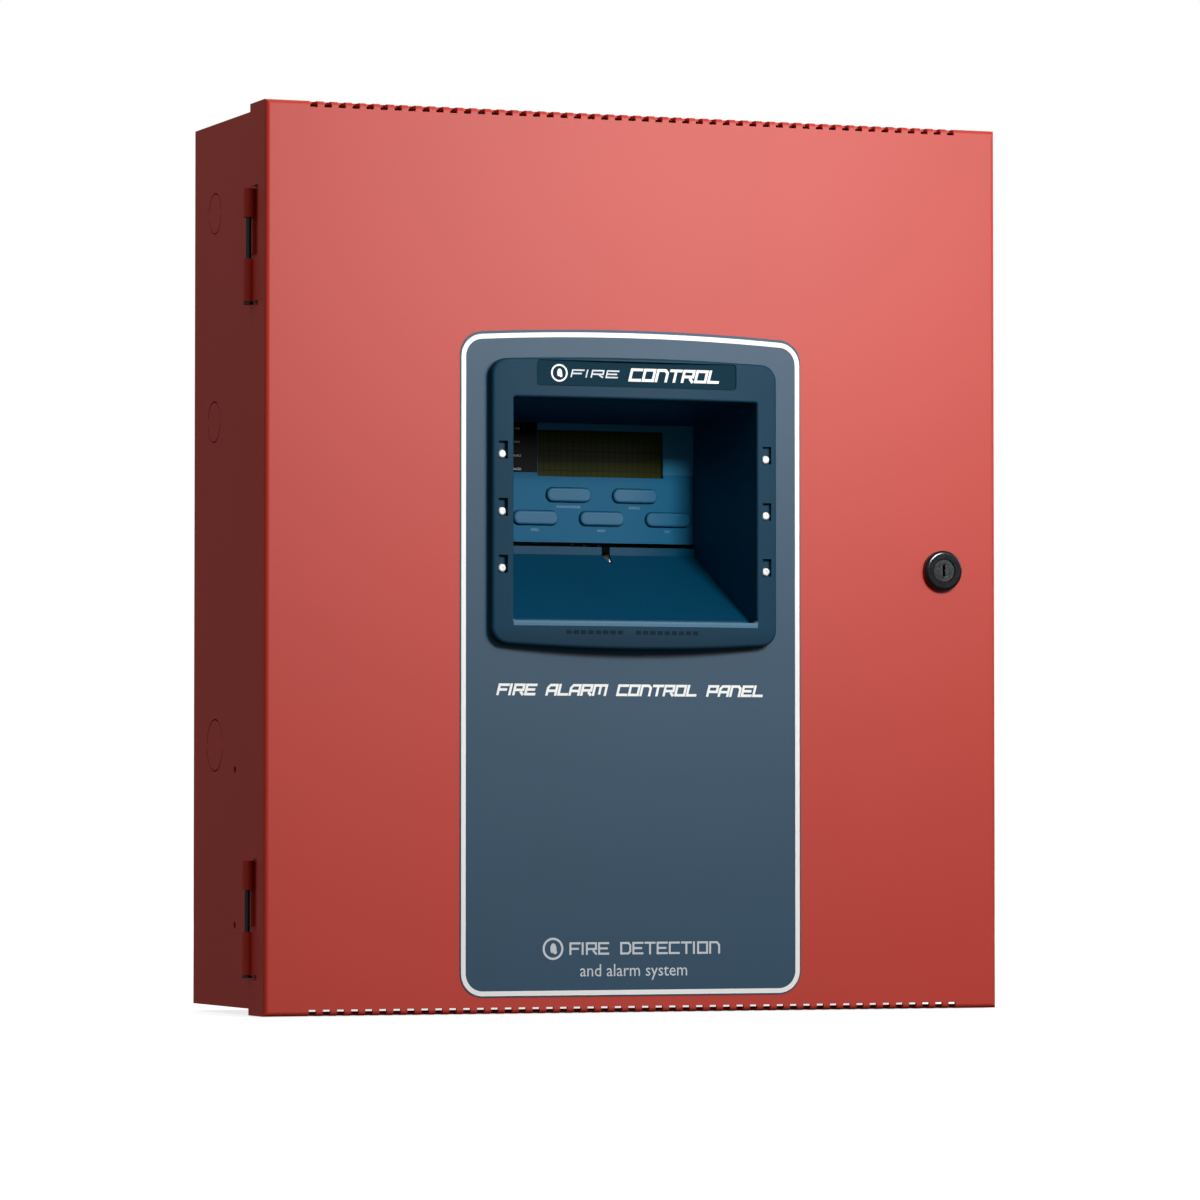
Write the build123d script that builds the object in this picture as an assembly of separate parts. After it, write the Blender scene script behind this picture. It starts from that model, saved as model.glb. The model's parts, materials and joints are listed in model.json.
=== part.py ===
from build123d import *
import math
import os

# Fire alarm control panel: a wall cabinet of folded steel with a hinged, lockable door.
# Frame: +X right, +Y into the wall, +Z up. The origin is the centre of the back face.

# ---- cabinet and door, driving sizes (mm) ----
SHEET = 1.5              # steel sheet of the cabinet and the door
BOX_W = 422.3
BOX_H = 482.6
BOX_D = 132.1
DOOR_FLANGE = 27.5       # depth of the door's folded edge
DOOR_GAP = 1.4           # between the cabinet's front edge and the door's inner face
DOOR_SIDE_GAP = 1.0      # between the cabinet's side and the door's flange
DOOR_END_GAP = 1.8       # the same, above and below
DOOR_BEND = 2.4          # outer bend radius of the door's folds
LIP = 9.0                # return lip round the cabinet's mouth
WELD_FLANGE = 12.0       # inner flanges of the end caps

DOOR_W = BOX_W + 2 * (DOOR_SIDE_GAP + SHEET)
DOOR_H = BOX_H + 2 * (DOOR_END_GAP + SHEET)
Y_DOOR = -(BOX_D + DOOR_GAP + SHEET)      # front face of the door
Y_DOOR_IN = Y_DOOR + SHEET
Y_MOUTH = -BOX_D
Y_FLANGE = Y_DOOR + DOOR_FLANGE           # rear edge of the door's flange
X_WALL = BOX_W / 2                        # outer face of the cabinet's side wall
Z_CAP = BOX_H / 2

# ---- door vents: a row of slots across the top and the bottom bend ----
VENT_PITCH = 7.94
VENT_MARGIN = 23.0       # plain metal beyond each end of the row
VENT_W = 4.2
VENT_FACE = 3.4          # how far a slot runs down the door's face
VENT_BACK = 5.5          # how far it runs back along the flange
VENT_COUNT = round((DOOR_W - 2 * VENT_MARGIN) / VENT_PITCH)

# ---- knockouts: (place along the wall, place from the wall plane, radius) ----
KO_SMALL = 11.1
KO_LARGE = 14.1
KO_SLOT = 0.7
KO_TAB = 3.2
SIDE_KNOCKOUTS = [(192.0, 37.0, KO_SMALL), (77.6, 36.0, KO_SMALL), (-99.5, 38.5, KO_LARGE)]
END_KNOCKOUTS = [(-130.0, 60.0, KO_LARGE), (0.0, 60.0, KO_SMALL), (130.0, 60.0, KO_LARGE)]
SIDE_PILOTS = [(-113.0, 75.0), (-197.0, 75.0)]
PILOT_R = 2.0

# ---- wall fixing: two keyholes above, two round holes below ----
FIX_X = X_WALL - 31.15
FIX_Z = Z_CAP - 36.3
KEYHOLE_HEAD_R = 6.5
KEYHOLE_NECK_R = 3.2
KEYHOLE_LIFT = 13.0      # from the head's centre up to the neck's end
FIX_HOLE_R = 3.2

# ---- hinges ----
PIN_R = 1.5
PIN_RUN = 0.05           # running clearance of the door's knuckle
KNUCKLE_R = 2 * PIN_R
HINGE_CLEAR = 0.75       # between a knuckle and the cabinet's side
HINGE_X = -X_WALL - HINGE_CLEAR - KNUCKLE_R
HINGE_Y = Y_FLANGE - 1.5
HINGE_Z = [Z_CAP - 72.9, -Z_CAP + 48.9]
HINGE_H = 61.0           # height of the notch that holds one hinge
BOX_KNUCKLE_H = 15.6
BOX_LEAF_H = 35.0
BOX_LEAF_D = 16.0
DOOR_KNUCKLE_H = 23.0
PIN_HEAD_R = 1.8 * PIN_R
PIN_HEAD_H = 1.4
NOTCH_D = 14.0
NOTCH_CLEAR = 1.2

# ---- door label, bezel and window shroud ----
PANEL_X = -4.0           # centre of the label, the bezel and the window
LABEL_W = 199.0
LABEL_T = 0.3
LABEL_BOTTOM = -235.7
LABEL_SHOULDER = 122.9
LABEL_ARCH = 3.6
LABEL_R = 13.0
BEZEL_W = 166.0
BEZEL_BOTTOM = -44.6
BEZEL_TOP = 108.9
BEZEL_ARCH_LOW = 3.2
BEZEL_ARCH_TOP = 1.8
BEZEL_R = 9.0
BEZEL_RIM_R = 1.6
BEZEL_T_SIDE = 6.0
BEZEL_T_MID = 10.0
WINDOW_W = 142.0
WINDOW_LOW = -32.4
WINDOW_HIGH = 88.3
WINDOW_BACK_W = WINDOW_W - 7.2
WINDOW_BACK_LOW = 8.0
WINDOW_BACK_HIGH = 80.4
WINDOW_EDGE_R = 1.2      # softened front edge of the bezel's opening
SHROUD_WALL = 2.2
SHROUD_FLANGE_T = 2.0
SHROUD_FIT = 0.3         # between the shroud's neck and the door and the bezel
SHROUD_END_GAP = 2.5     # between the funnel's back end and the fascia
SHROUD_LIP = 3.6         # upright lip along the back edge of the funnel's floor
SHROUD_LIP_T = 1.6
SHROUD_VEE_X = 10.0      # vee notch in the lip and the floor behind it
SHROUD_VEE_W = 6.0
SHROUD_VEE_LONG = 13.0
SHROUD_FLANGE_SIDE = 15.0    # how far the flange reaches past the window, to each side
SHROUD_FLANGE_END = 11.0     # the same, above and below
SHROUD_FLANGE_R = 6.0
SHROUD_BOSS_R = 3.2
SHROUD_BOSS_H = 4.0
POCKET_W = 5.2
POCKET_H = 9.6
POCKET_DEEP = 2.2
SCREW_ROWS = [57.3, 26.4, -4.3]
BEZEL_SCREW_HEAD_R = 2.2
BEZEL_SCREW_R = 1.4
PLATE_W = 116.0
PLATE_H = 13.5
PLATE_Z = 101.7
PLATE_T = 0.6
PLATE_SINK = 1.0
PLATE_R = 1.7
PLATE_FIT = 0.3
SHEET_W = 216.0          # printed instruction sheet inside the door
SHEET_LOW = -228.0
SHEET_HIGH = -70.0
SHEET_PAPER_T = 0.25

# ---- lock ----
LOCK_X = DOOR_W / 2 - 33.15
LOCK_Z = -2.0
LOCK_HEAD_R = 11.2
LOCK_HEAD_T = 4.4
LOCK_BARREL_R = 9.0
LOCK_FLAT = 7.8          # half width across the barrel's flats
LOCK_PLUG_R = 6.6
LOCK_RUN = 0.06
LOCK_NUT_T = 3.2
CAM_T = 2.0
CAM_REACH = 24.0
CAM_W = 14.0
CAM_HUB_R = 8.5
CAM_SQUARE = 6.5
STRIKE_GAP = 1.6         # between the strike plate and the cam behind it
STRIKE_H = 46.0
STRIKE_REACH = 13.0
Y_STRIKE = Y_MOUTH + 20.1   # front face of the strike plate

# ---- chassis, boards and display ----
STUD_R = 2.0
STUD_FIT = 0.2            # between a stud and the hole it passes through
NUT_R = 4.0
NUT_T = 3.0
CHASSIS_T = 1.2
CHASSIS_OFF = 14.0       # chassis plate's back face from the cabinet's back plate
CHASSIS_X = 168.0
CHASSIS_LOW = -60.0
CHASSIS_HIGH = 218.0
CHASSIS_VENT_X = 90.0
CHASSIS_VENT_Z = (20.0, 140.0)
CHASSIS_VENT_W = 44.0
CHASSIS_VENT_H = 22.0
CHASSIS_VENT_R = 8.0
CHASSIS_HOLE_IN = 9.0    # stud holes from the plate's edges
CHASSIS_FOLD = 7.0
BOARD_T = 1.6
BOARD_OFF = 12.0         # standoff length between chassis and main board
BOARD_X = 160.0
BOARD_LOW = -55.0
BOARD_HIGH = 212.0
BOARD_HOLE_IN = 22.0     # screw holes from the board's edges
SCREW_HEAD_R = 3.4
SCREW_HEAD_H = 2.0
SCREW_R = 1.5
SCREW_LONG = 7.0
STANDOFF_R = 3.0
Y_FASCIA = -55.0         # front face of the display fascia
FASCIA_T = 2.0
FASCIA_X = (-76.0, 68.0)
FASCIA_Z = (14.1, 86.0)
FASCIA_RIM = 1.6
DISPLAY_BOARD_FRONT = -44.0
KEY_W = 26.5
KEY_H = 7.8
KEY_PROUD = 2.2
KEY_CLEAR = 0.35
KEY_TRAVEL = 1.0
KEY_BEHIND = 0.3         # between the fascia's back and a key's flange
KEY_STEM = 2.0
KEY_STEM_R = 2.2
KEY_PITCH = 39.5
KEY_ROWS = [(9.0, 40.6, 2), (9.0, 27.6, 3)]   # middle of the row, height, number of keys
KEY_FLANGE = 1.1
KEY_FLANGE_T = 1.0
LCD_X = 8.5
LCD_Z = 63.8
LCD_W = 75.0
LCD_H = 26.0
LCD_FRAME_RIM = 5.0
LED_R = 1.5
LED_RUN = 0.1
LED_IN = 14.0            # first column of lamps from the fascia's left edge
LED_TOP = 77.0
LED_PITCH_X = 9.0
LED_PITCH_Z = 7.5
LED_ROWS = 4
STANDOFF_IN = 7.0        # display standoffs from the fascia's edges

Y_BACK = -SHEET                              # inner face of the back plate
Y_CHASSIS = Y_BACK - CHASSIS_OFF             # back face of the chassis plate
Y_BOARD = Y_CHASSIS - CHASSIS_T - BOARD_OFF  # back face of the main board
Y_PARTS = Y_BOARD - BOARD_T                  # face that carries the components

# ---- components on the main board; each place is an (x, z) corner or centre ----
TERMINAL_POLE = 6.0
TERMINAL_DEEP = 13.0
TERMINAL_TALL = 11.0
TERMINAL_BANKS = [(-118.0, 5), (-74.0, 8), (-12.0, 8), (50.0, 8), (106.0, 6)]   # start, poles
TERMINAL_ROWS = [(BOARD_HIGH - 8.0, 1), (BOARD_LOW + 8.0, -1)]                  # height, wire side
RELAYS = [(-140, 150), (-140, 122), (-140, 94), (126, 150), (126, 122)]
RELAY_W = 19.0
RELAY_H = 22.0
RELAY_T = 15.5
CAPACITORS = [           # centre, radius, height
    (-104, 118, 8.0, 20.0), (-104, 96, 8.0, 20.0), (-120, 62, 11.0, 24.0), (-120, 34, 11.0, 24.0),
    (92, 30, 4.0, 11.0), (92, 16, 4.0, 11.0), (-20, 120, 3.2, 9.0), (40, 168, 4.0, 11.0),
]
CHIPS = [                # corner, width, height, thickness
    (92, 70, 24, 24, 3.0), (92, 104, 18, 9, 2.4), (92, 120, 18, 9, 2.4), (-60, 130, 28, 14, 3.2),
    (-10, 140, 20, 20, 3.0), (30, 136, 18, 9, 2.4), (60, 140, 14, 9, 2.2), (-60, 160, 18, 9, 2.4),
    (-100, -22, 18, 9, 2.4), (-40, -24, 18, 9, 2.4), (20, -24, 20, 12, 2.6),
]
CHIP_LIFT = 0.3          # air under a chip's body
SINK_X = 104.0           # heat sink comb
SINK_Z = -28.0
SINK_W = 46.0
SINK_H = 22.0
SINK_BASE = 3.0
SINK_FIN = 1.8
SINK_FINS = 8
REGULATORS = (109.0, 128.0)
REGULATOR_W = 10.2
REGULATOR_T = 4.6
JACKS = [(92.0, 174.0), (112.0, 174.0)]
JACK_W = 15.5
JACK_H = 16.0
JACK_T = 13.0
SOUNDER = (-60.0, 92.0)
SOUNDER_R = 12.0
SOUNDER_T = 10.0
SOUNDER_HOLE_R = 1.6
FUSES = [(-150, 4), (-150, -14)]
FUSE_R = 2.5
FUSE_LONG = 20.0
FUSE_RISE = 5.0
CLIP_W = 5.0
BATTERY_HEADER = (62.0, -33.0)
TRANSFORMER_HEADER = (-124.0, -34.0)
HEADERS = [BATTERY_HEADER, TRANSFORMER_HEADER, (-30.0, 96.0), (40.0, 96.0)]
HEADER_W = 16.0
HEADER_H = 8.0
HEADER_T = 9.0
HEADER_PINS = 4

# ---- batteries and transformer ----
BATTERY_W = 151.0
BATTERY_D = 65.0
BATTERY_H = 94.0
BATTERY_LID = 9.0
BATTERY_BACK = 4.0       # from the cabinet's back plane to the batteries
BATTERY_GAP = 6.0
TAB_W = 6.35
TAB_H = 7.0
TAB_T = 0.8
TRANSFORMER_X = -X_WALL + 63.15
TRANSFORMER_Z = -Z_CAP + 139.3
CORE_W = 76.0
CORE_H = 62.0
CORE_D = 32.0
WINDING_W = 48.0
WINDING_H = 36.0
WINDING_D = 54.0
BRACKET_T = 1.5
BRACKET_H = 50.0
BRACKET_FOOT_H = 18.0
BRACKET_FOOT = 15.0

# ---- mains strip and earth stud ----
STRIP_X = TRANSFORMER_X + 95.0
STRIP_Z = TRANSFORMER_Z + 4.0
STRIP_W = 50.0
STRIP_H = 22.0
STRIP_T = 15.0
STRIP_RIDGE = 8.0        # height of the walls between the poles
STRIP_PITCH = 12.0
STRIP_END_WALL = 15.4
STRIP_HOLE_X = 20.0
STRIP_BOSS = 2.0
STRIP_SCREW_R = 2.8
EARTH_X = STRIP_X - 9.0
EARTH_Z = STRIP_Z - 30.0
EARTH_SHOULDER = 4.0
LUG_T = 0.7
LUG_R = 1.8              # crimp barrel
LUG_END = 9.0            # from the screw's centre to the barrel's end

WIRE_R = 1.4
THIN_WIRE_R = 1.1
BEND_SHARE = 0.45        # share of the shorter run that each bend takes at one end
PLUG_PROUD = 5.0
PLUG_WIRE_X = 4.5
PLUG_WIRE_PITCH = 7.0

BATTERY_LOW = -Z_CAP + SHEET
BATTERY_TOP = BATTERY_LOW + BATTERY_H
TAB_SINK = 3.0           # depth of the recess round each tab
TAB_ROOM = 7.5           # half width of that recess
TAB_IN = 14.0            # tabs from the battery's ends
TAB_Y = -BATTERY_BACK - BATTERY_D + 16.0
RECEPTACLE_LONG = 12.0
RECEPTACLE_LOW = BATTERY_TOP - TAB_SINK + 1.0


def block(x0, x1, y0, y1, z0, z1):
    """A box from its two corners on each axis."""
    return Pos((x0 + x1) / 2, (y0 + y1) / 2, (z0 + z1) / 2) * Box(
        abs(x1 - x0), abs(y1 - y0), abs(z1 - z0)
    )


def slab(sketch, y_back, y_front):
    """A flat outline drawn in X and Z, as thick as the run from y_back to y_front."""
    return extrude(Plane.XZ.offset(-y_back) * sketch, y_back - y_front)


def rod_y(x, z, radius, y_back, y_front):
    return slab(Pos(x, z) * Circle(radius), y_back, y_front)


def rod_z(x, y, radius, z0, z1):
    return Pos(x, y, (z0 + z1) / 2) * Cylinder(radius, abs(z1 - z0))


def group(solids):
    """Several separate solids that share one node."""
    return Compound(children=list(solids))


def knockout(radius, thickness):
    """The shear line of a knockout: a ring slot, broken by two tabs. Its axis is Z."""
    ring = Cylinder(radius + KO_SLOT / 2, thickness) - Cylinder(radius - KO_SLOT / 2, thickness)
    return ring - Box(KO_TAB, 3 * radius, thickness)


def rounded(width, height, radius, x=0.0, z=0.0):
    return Pos(x, z) * RectangleRounded(width, height, radius)


# ---------------------------------------------------------------- cabinet
def keyhole(x):
    head = Pos(x, FIX_Z - KEYHOLE_LIFT) * Circle(KEYHOLE_HEAD_R)
    neck = Pos(x, FIX_Z) * Circle(KEYHOLE_NECK_R)
    throat = Pos(x, FIX_Z - KEYHOLE_LIFT / 2) * Rectangle(2 * KEYHOLE_NECK_R, KEYHOLE_LIFT)
    return slab(head + neck + throat, 1.0, -SHEET - 1.0)


def through_side(side, y, z):
    """Place on a side wall, with Z turned to run through the wall."""
    return Pos(side * (X_WALL - SHEET / 2), -y, z) * Rot(0, 90, 0)


def backbox_wrap():
    """Back plate and both side walls, folded from one sheet, with a return lip on each side."""
    body = block(-X_WALL, X_WALL, -BOX_D, 0, -Z_CAP, Z_CAP)
    body -= block(-X_WALL + SHEET, X_WALL - SHEET, -BOX_D - 1, -SHEET, -Z_CAP - 1, Z_CAP + 1)
    for side in (-1, 1):
        inner = side * (X_WALL - LIP)
        body += block(side * X_WALL, inner, Y_MOUTH, Y_MOUTH + SHEET, -Z_CAP, Z_CAP)
        for z, y, radius in SIDE_KNOCKOUTS:
            body -= through_side(side, y, z) * knockout(radius, 2 * SHEET)
        for z, y in SIDE_PILOTS:
            body -= through_side(side, y, z) * Cylinder(PILOT_R, 2 * SHEET)
    for x in (-FIX_X, FIX_X):
        body -= keyhole(x)
        body -= rod_y(x, -FIX_Z, FIX_HOLE_R, 1.0, -SHEET - 1.0)
    return body


def end_cap(up):
    """Top or bottom plate with a front lip and three welded flanges. up is 1 or -1."""
    half = X_WALL - SHEET
    z_out, z_in = up * Z_CAP, up * (Z_CAP - SHEET)
    cap = block(-half, half, Y_MOUTH + SHEET, Y_BACK, z_out, z_in)
    lip_half = X_WALL - LIP
    cap += block(-lip_half, lip_half, Y_MOUTH, Y_MOUTH + SHEET, z_out, up * (Z_CAP - LIP))
    z_weld = up * (Z_CAP - WELD_FLANGE)
    y_side = Y_MOUTH + 3 * SHEET
    for side in (-1, 1):
        cap += block(side * half, side * (half - SHEET), y_side, Y_BACK, z_out, z_weld)
    cap += block(-half, half, Y_BACK - SHEET, Y_BACK, z_out, z_weld)
    for x, y, radius in END_KNOCKOUTS:
        cap -= Pos(x, -y, up * (Z_CAP - SHEET / 2)) * knockout(radius, 2 * SHEET)
    return cap


def lock_strike():
    """Z-bent catch on the right wall; the cam turns in behind its front plate."""
    wall = X_WALL - SHEET
    z0, z1 = LOCK_Z - STRIKE_H / 2, LOCK_Z + STRIKE_H / 2
    plate = block(wall - STRIKE_REACH, wall, Y_STRIKE, Y_STRIKE + SHEET, z0, z1)
    leg = block(wall - SHEET, wall, Y_STRIKE, Y_STRIKE + 16.0, z0, z1)
    return fillet((plate + leg).edges().filter_by(Axis.Y).group_by(Axis.X)[0], 2.0)


def weld_studs():
    """Studs on the back plate: for the chassis, the transformer, the mains strip and the earth wire."""
    seats = [(x, z, Y_CHASSIS, Y_CHASSIS - CHASSIS_T) for x, z in chassis_places()]
    seats += [(x, z, None, Y_BACK - BRACKET_T) for x, z in bracket_places()]
    seats += [(x, z, None, strip_deck()) for x, z in strip_places()]
    seats.append((EARTH_X, EARTH_Z, Y_BACK - EARTH_SHOULDER, Y_BACK - EARTH_SHOULDER - LUG_T))
    posts = []
    for x, z, shoulder, nut_seat in seats:
        post = rod_y(x, z, STUD_R, Y_BACK, nut_seat - NUT_T - 1.5)
        if shoulder:
            post += rod_y(x, z, 2 * STUD_R, Y_BACK, shoulder)
        posts.append(post)
    return group(posts)


# ---------------------------------------------------------------- hinges
def hinge_spans(z_mid):
    top = z_mid + HINGE_H / 2
    bottom = z_mid - HINGE_H / 2
    return top, bottom


def box_leaf(z_mid):
    """Leaf on the outside of the wall; its knuckle holds the top of the pin."""
    top, _ = hinge_spans(z_mid)
    ring = rod_z(HINGE_X, HINGE_Y, KNUCKLE_R, top - BOX_KNUCKLE_H, top)
    plate = block(-X_WALL - SHEET, -X_WALL, HINGE_Y, HINGE_Y + BOX_LEAF_D, top - BOX_LEAF_H, top)
    neck = block(-X_WALL - SHEET, -X_WALL, HINGE_Y, HINGE_Y + 2, top - BOX_KNUCKLE_H, top)
    return ring + plate + neck - rod_z(HINGE_X, HINGE_Y, PIN_R, top - HINGE_H, top + 1)


def door_leaf(z_mid):
    """Leaf in the plane of the door's flange, let into its notch; its knuckle turns on the pin."""
    _, bottom = hinge_spans(z_mid)
    top = bottom + DOOR_KNUCKLE_H
    ring = rod_z(HINGE_X, HINGE_Y, KNUCKLE_R, bottom, top)
    outer = -DOOR_W / 2
    plate = block(outer, outer + SHEET, Y_FLANGE - NOTCH_D, HINGE_Y, bottom, top)
    return ring + plate - rod_z(HINGE_X, HINGE_Y, PIN_R + PIN_RUN, bottom - 1, top + 1)


def hinge_pin(z_mid):
    top, bottom = hinge_spans(z_mid)
    shank = rod_z(HINGE_X, HINGE_Y, PIN_R, bottom - PIN_HEAD_H, top)
    head = rod_z(HINGE_X, HINGE_Y, PIN_HEAD_R, bottom - 0.3 - PIN_HEAD_H, bottom - 0.3)
    return shank + head


# ---------------------------------------------------------------- door
def door_shell():
    outer = block(-DOOR_W / 2, DOOR_W / 2, Y_DOOR, Y_FLANGE, -DOOR_H / 2, DOOR_H / 2)
    outer = fillet(outer.faces().sort_by(Axis.Y)[0].edges(), DOOR_BEND)
    half_w, half_h = DOOR_W / 2 - SHEET, DOOR_H / 2 - SHEET
    inner = block(-half_w, half_w, Y_DOOR_IN, Y_FLANGE + 5, -half_h, half_h)
    inner = fillet(inner.faces().sort_by(Axis.Y)[0].edges(), DOOR_BEND - SHEET)
    shell = outer - inner
    neck = SHROUD_WALL + SHROUD_FIT
    window = block(
        PANEL_X - WINDOW_W / 2 - neck, PANEL_X + WINDOW_W / 2 + neck,
        Y_DOOR - 1, Y_DOOR_IN + 1, WINDOW_LOW - neck, WINDOW_HIGH + neck,
    )
    cuts = [window]
    first = -(VENT_COUNT - 1) * VENT_PITCH / 2
    for n in range(VENT_COUNT):
        x = first + n * VENT_PITCH
        for up in (-1, 1):
            edge = up * DOOR_H / 2
            cuts.append(block(x - VENT_W / 2, x + VENT_W / 2, Y_DOOR - 1, Y_DOOR + VENT_BACK,
                              edge - up * VENT_FACE, edge + up))
    for x in bezel_screw_columns():
        for z in SCREW_ROWS:
            cuts.append(rod_y(x, z, BEZEL_SCREW_R + 0.4, Y_DOOR_IN + 1, Y_DOOR - 1))
    cuts.append(lock_profile(0.2, Y_DOOR_IN + 1, Y_DOOR - 1))
    for z_mid in HINGE_Z:
        top, bottom = hinge_spans(z_mid)
        cuts.append(block(-DOOR_W / 2 - 1, -DOOR_W / 2 + SHEET + 0.5, Y_FLANGE - NOTCH_D, Y_FLANGE + 1,
                          bottom - PIN_HEAD_H - NOTCH_CLEAR, top + NOTCH_CLEAR))
    return shell - cuts


def bezel_screw_columns():
    offset = (WINDOW_W / 2 + BEZEL_W / 2) / 2
    return (PANEL_X - offset, PANEL_X + offset)


def arched_outline(width, low, high, arch_low, arch_top, radius):
    """A rounded rectangle whose top and bottom edges bow outwards."""
    x0, x1 = PANEL_X - width / 2, PANEL_X + width / 2
    left = Line((x0, high), (x0, low))
    right = Line((x1, low), (x1, high))
    if arch_low:
        bottom = ThreePointArc((x0, low), (PANEL_X, low - arch_low), (x1, low))
    else:
        bottom = Line((x0, low), (x1, low))
    top = ThreePointArc((x1, high), (PANEL_X, high + arch_top), (x0, high))
    face = make_face(left + bottom + right + top)
    return fillet(face.vertices(), radius)


def window_rect(grow):
    return Pos(PANEL_X, (WINDOW_LOW + WINDOW_HIGH) / 2) * Rectangle(
        WINDOW_W + 2 * grow, WINDOW_HIGH - WINDOW_LOW + 2 * grow
    )


def door_label():
    outline = arched_outline(LABEL_W, LABEL_BOTTOM, LABEL_SHOULDER, 0, LABEL_ARCH, LABEL_R)
    hole = window_rect(SHROUD_WALL + SHROUD_FIT)
    for x in bezel_screw_columns():
        for z in SCREW_ROWS:
            hole += Pos(x, z) * Circle(BEZEL_SCREW_R + 0.4)
    return slab(outline - hole, Y_DOOR, Y_DOOR - LABEL_T)


def display_bezel():
    """Moulded surround with a front that bows outwards, six screw pockets and a name plate recess."""
    back = Y_DOOR - LABEL_T
    y_mid = Y_DOOR - BEZEL_T_MID
    outline = arched_outline(BEZEL_W, BEZEL_BOTTOM, BEZEL_TOP, BEZEL_ARCH_LOW, BEZEL_ARCH_TOP, BEZEL_R)
    rise = BEZEL_T_MID - BEZEL_T_SIDE
    bow_r = ((BEZEL_W / 2) ** 2 + rise ** 2) / (2 * rise)
    crown = rod_z(PANEL_X, y_mid + bow_r, bow_r, -BOX_H / 2, BOX_H / 2)
    solid = slab(outline, back, y_mid - 2) & crown
    solid = fillet(solid.faces().sort_by(Axis.Y)[0].edges(), BEZEL_RIM_R)
    solid -= slab(window_rect(SHROUD_WALL + SHROUD_FIT), back + 1, back - 1.5)
    solid -= slab(window_rect(0), back, Y_DOOR - BEZEL_T_MID - 2)
    solid = fillet(window_front_edges(solid), WINDOW_EDGE_R)
    for x in bezel_screw_columns():
        for z in SCREW_ROWS:
            low = z - BEZEL_SCREW_HEAD_R - 0.4
            solid -= block(x - POCKET_W / 2, x + POCKET_W / 2, pocket_floor(), y_mid - 3, low, low + POCKET_H)
            solid -= rod_y(x, z, BEZEL_SCREW_R + 0.1, back + 1, pocket_floor() - 1)
    seat = rounded(PLATE_W + 2 * PLATE_FIT, PLATE_H + 2 * PLATE_FIT, PLATE_R + PLATE_FIT, PANEL_X, PLATE_Z)
    return solid - slab(seat, plate_floor(), y_mid - 3)


def window_front_edges(solid):
    """The four edges where the bezel's opening meets its bowed front."""
    reach = WINDOW_W / 2 + 0.1
    return [
        edge for edge in solid.edges()
        if edge.center().Y < Y_DOOR - BEZEL_T_SIDE / 2 and abs(edge.center().X - PANEL_X) < reach
        and WINDOW_LOW - 0.1 < edge.center().Z < WINDOW_HIGH + 0.1
    ]


def pocket_floor():
    return Y_DOOR - BEZEL_T_SIDE + POCKET_DEEP


def plate_floor():
    """Depth of the name plate's seat, below the lowest part of the bowed front that it crosses."""
    share = (PLATE_W / BEZEL_W) ** 2
    bow = BEZEL_T_MID - (BEZEL_T_MID - BEZEL_T_SIDE) * share
    return Y_DOOR - bow + PLATE_SINK


def name_plate():
    return slab(rounded(PLATE_W, PLATE_H, PLATE_R, PANEL_X, PLATE_Z), plate_floor(), plate_floor() - PLATE_T)


def shroud_section(y, width, low, high, grow):
    face = Pos(PANEL_X, (low + high) / 2) * Rectangle(width + 2 * grow, high - low + 2 * grow)
    return Plane.XZ.offset(-y) * face


def shroud_end():
    return Y_FASCIA - SHROUD_END_GAP


def shroud_notch():
    """Vee in plan, wide end at the back edge of the floor, cut up through the lip."""
    y = shroud_end()
    left, right = SHROUD_VEE_X - SHROUD_VEE_W / 2, SHROUD_VEE_X + SHROUD_VEE_W / 2
    tip = (SHROUD_VEE_X, y - SHROUD_VEE_LONG)
    vee = make_face(Polyline((left, y + 1), (right, y + 1), tip, (left, y + 1)))
    middle = (WINDOW_BACK_LOW + WINDOW_BACK_HIGH) / 2
    return extrude(Pos(0, 0, WINDOW_LOW) * vee, middle - WINDOW_LOW)


def window_shroud():
    """Funnel from the window to the display, with a neck through the door and a screwed flange."""
    y0, y1 = Y_DOOR_IN, shroud_end()
    solids = []
    for grow in (SHROUD_WALL, 0):
        front = shroud_section(y0, WINDOW_W, WINDOW_LOW, WINDOW_HIGH, grow)
        rear = shroud_section(y1, WINDOW_BACK_W, WINDOW_BACK_LOW, WINDOW_BACK_HIGH, grow)
        solids.append(loft([front, rear], ruled=True))
    outside, inside = solids
    neck = slab(window_rect(SHROUD_WALL), y0, Y_DOOR - LABEL_T - 1.2) - slab(window_rect(0), y0, Y_DOOR - 5)
    flange = slab(rounded(WINDOW_W + 2 * SHROUD_FLANGE_SIDE, WINDOW_HIGH - WINDOW_LOW + 2 * SHROUD_FLANGE_END,
                          SHROUD_FLANGE_R, PANEL_X, (WINDOW_LOW + WINDOW_HIGH) / 2), y0 + SHROUD_FLANGE_T, y0)
    funnel = outside + flange - inside - slab(window_rect(0), y0 + SHROUD_FLANGE_T, y0)
    funnel = funnel + neck - inside
    for x in bezel_screw_columns():
        for z in SCREW_ROWS:
            funnel += rod_y(x, z, SHROUD_BOSS_R, y0 + SHROUD_FLANGE_T + SHROUD_BOSS_H, y0)
            funnel -= rod_y(x, z, BEZEL_SCREW_R, y0 + SHROUD_FLANGE_T + SHROUD_BOSS_H + 1, y0 - 1)
    half = WINDOW_BACK_W / 2 + SHROUD_WALL
    lip = block(PANEL_X - half, PANEL_X + half, y1 - SHROUD_LIP_T, y1, WINDOW_BACK_LOW - SHROUD_WALL,
                WINDOW_BACK_LOW + SHROUD_LIP)
    return funnel - inside + lip - shroud_notch()


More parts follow.
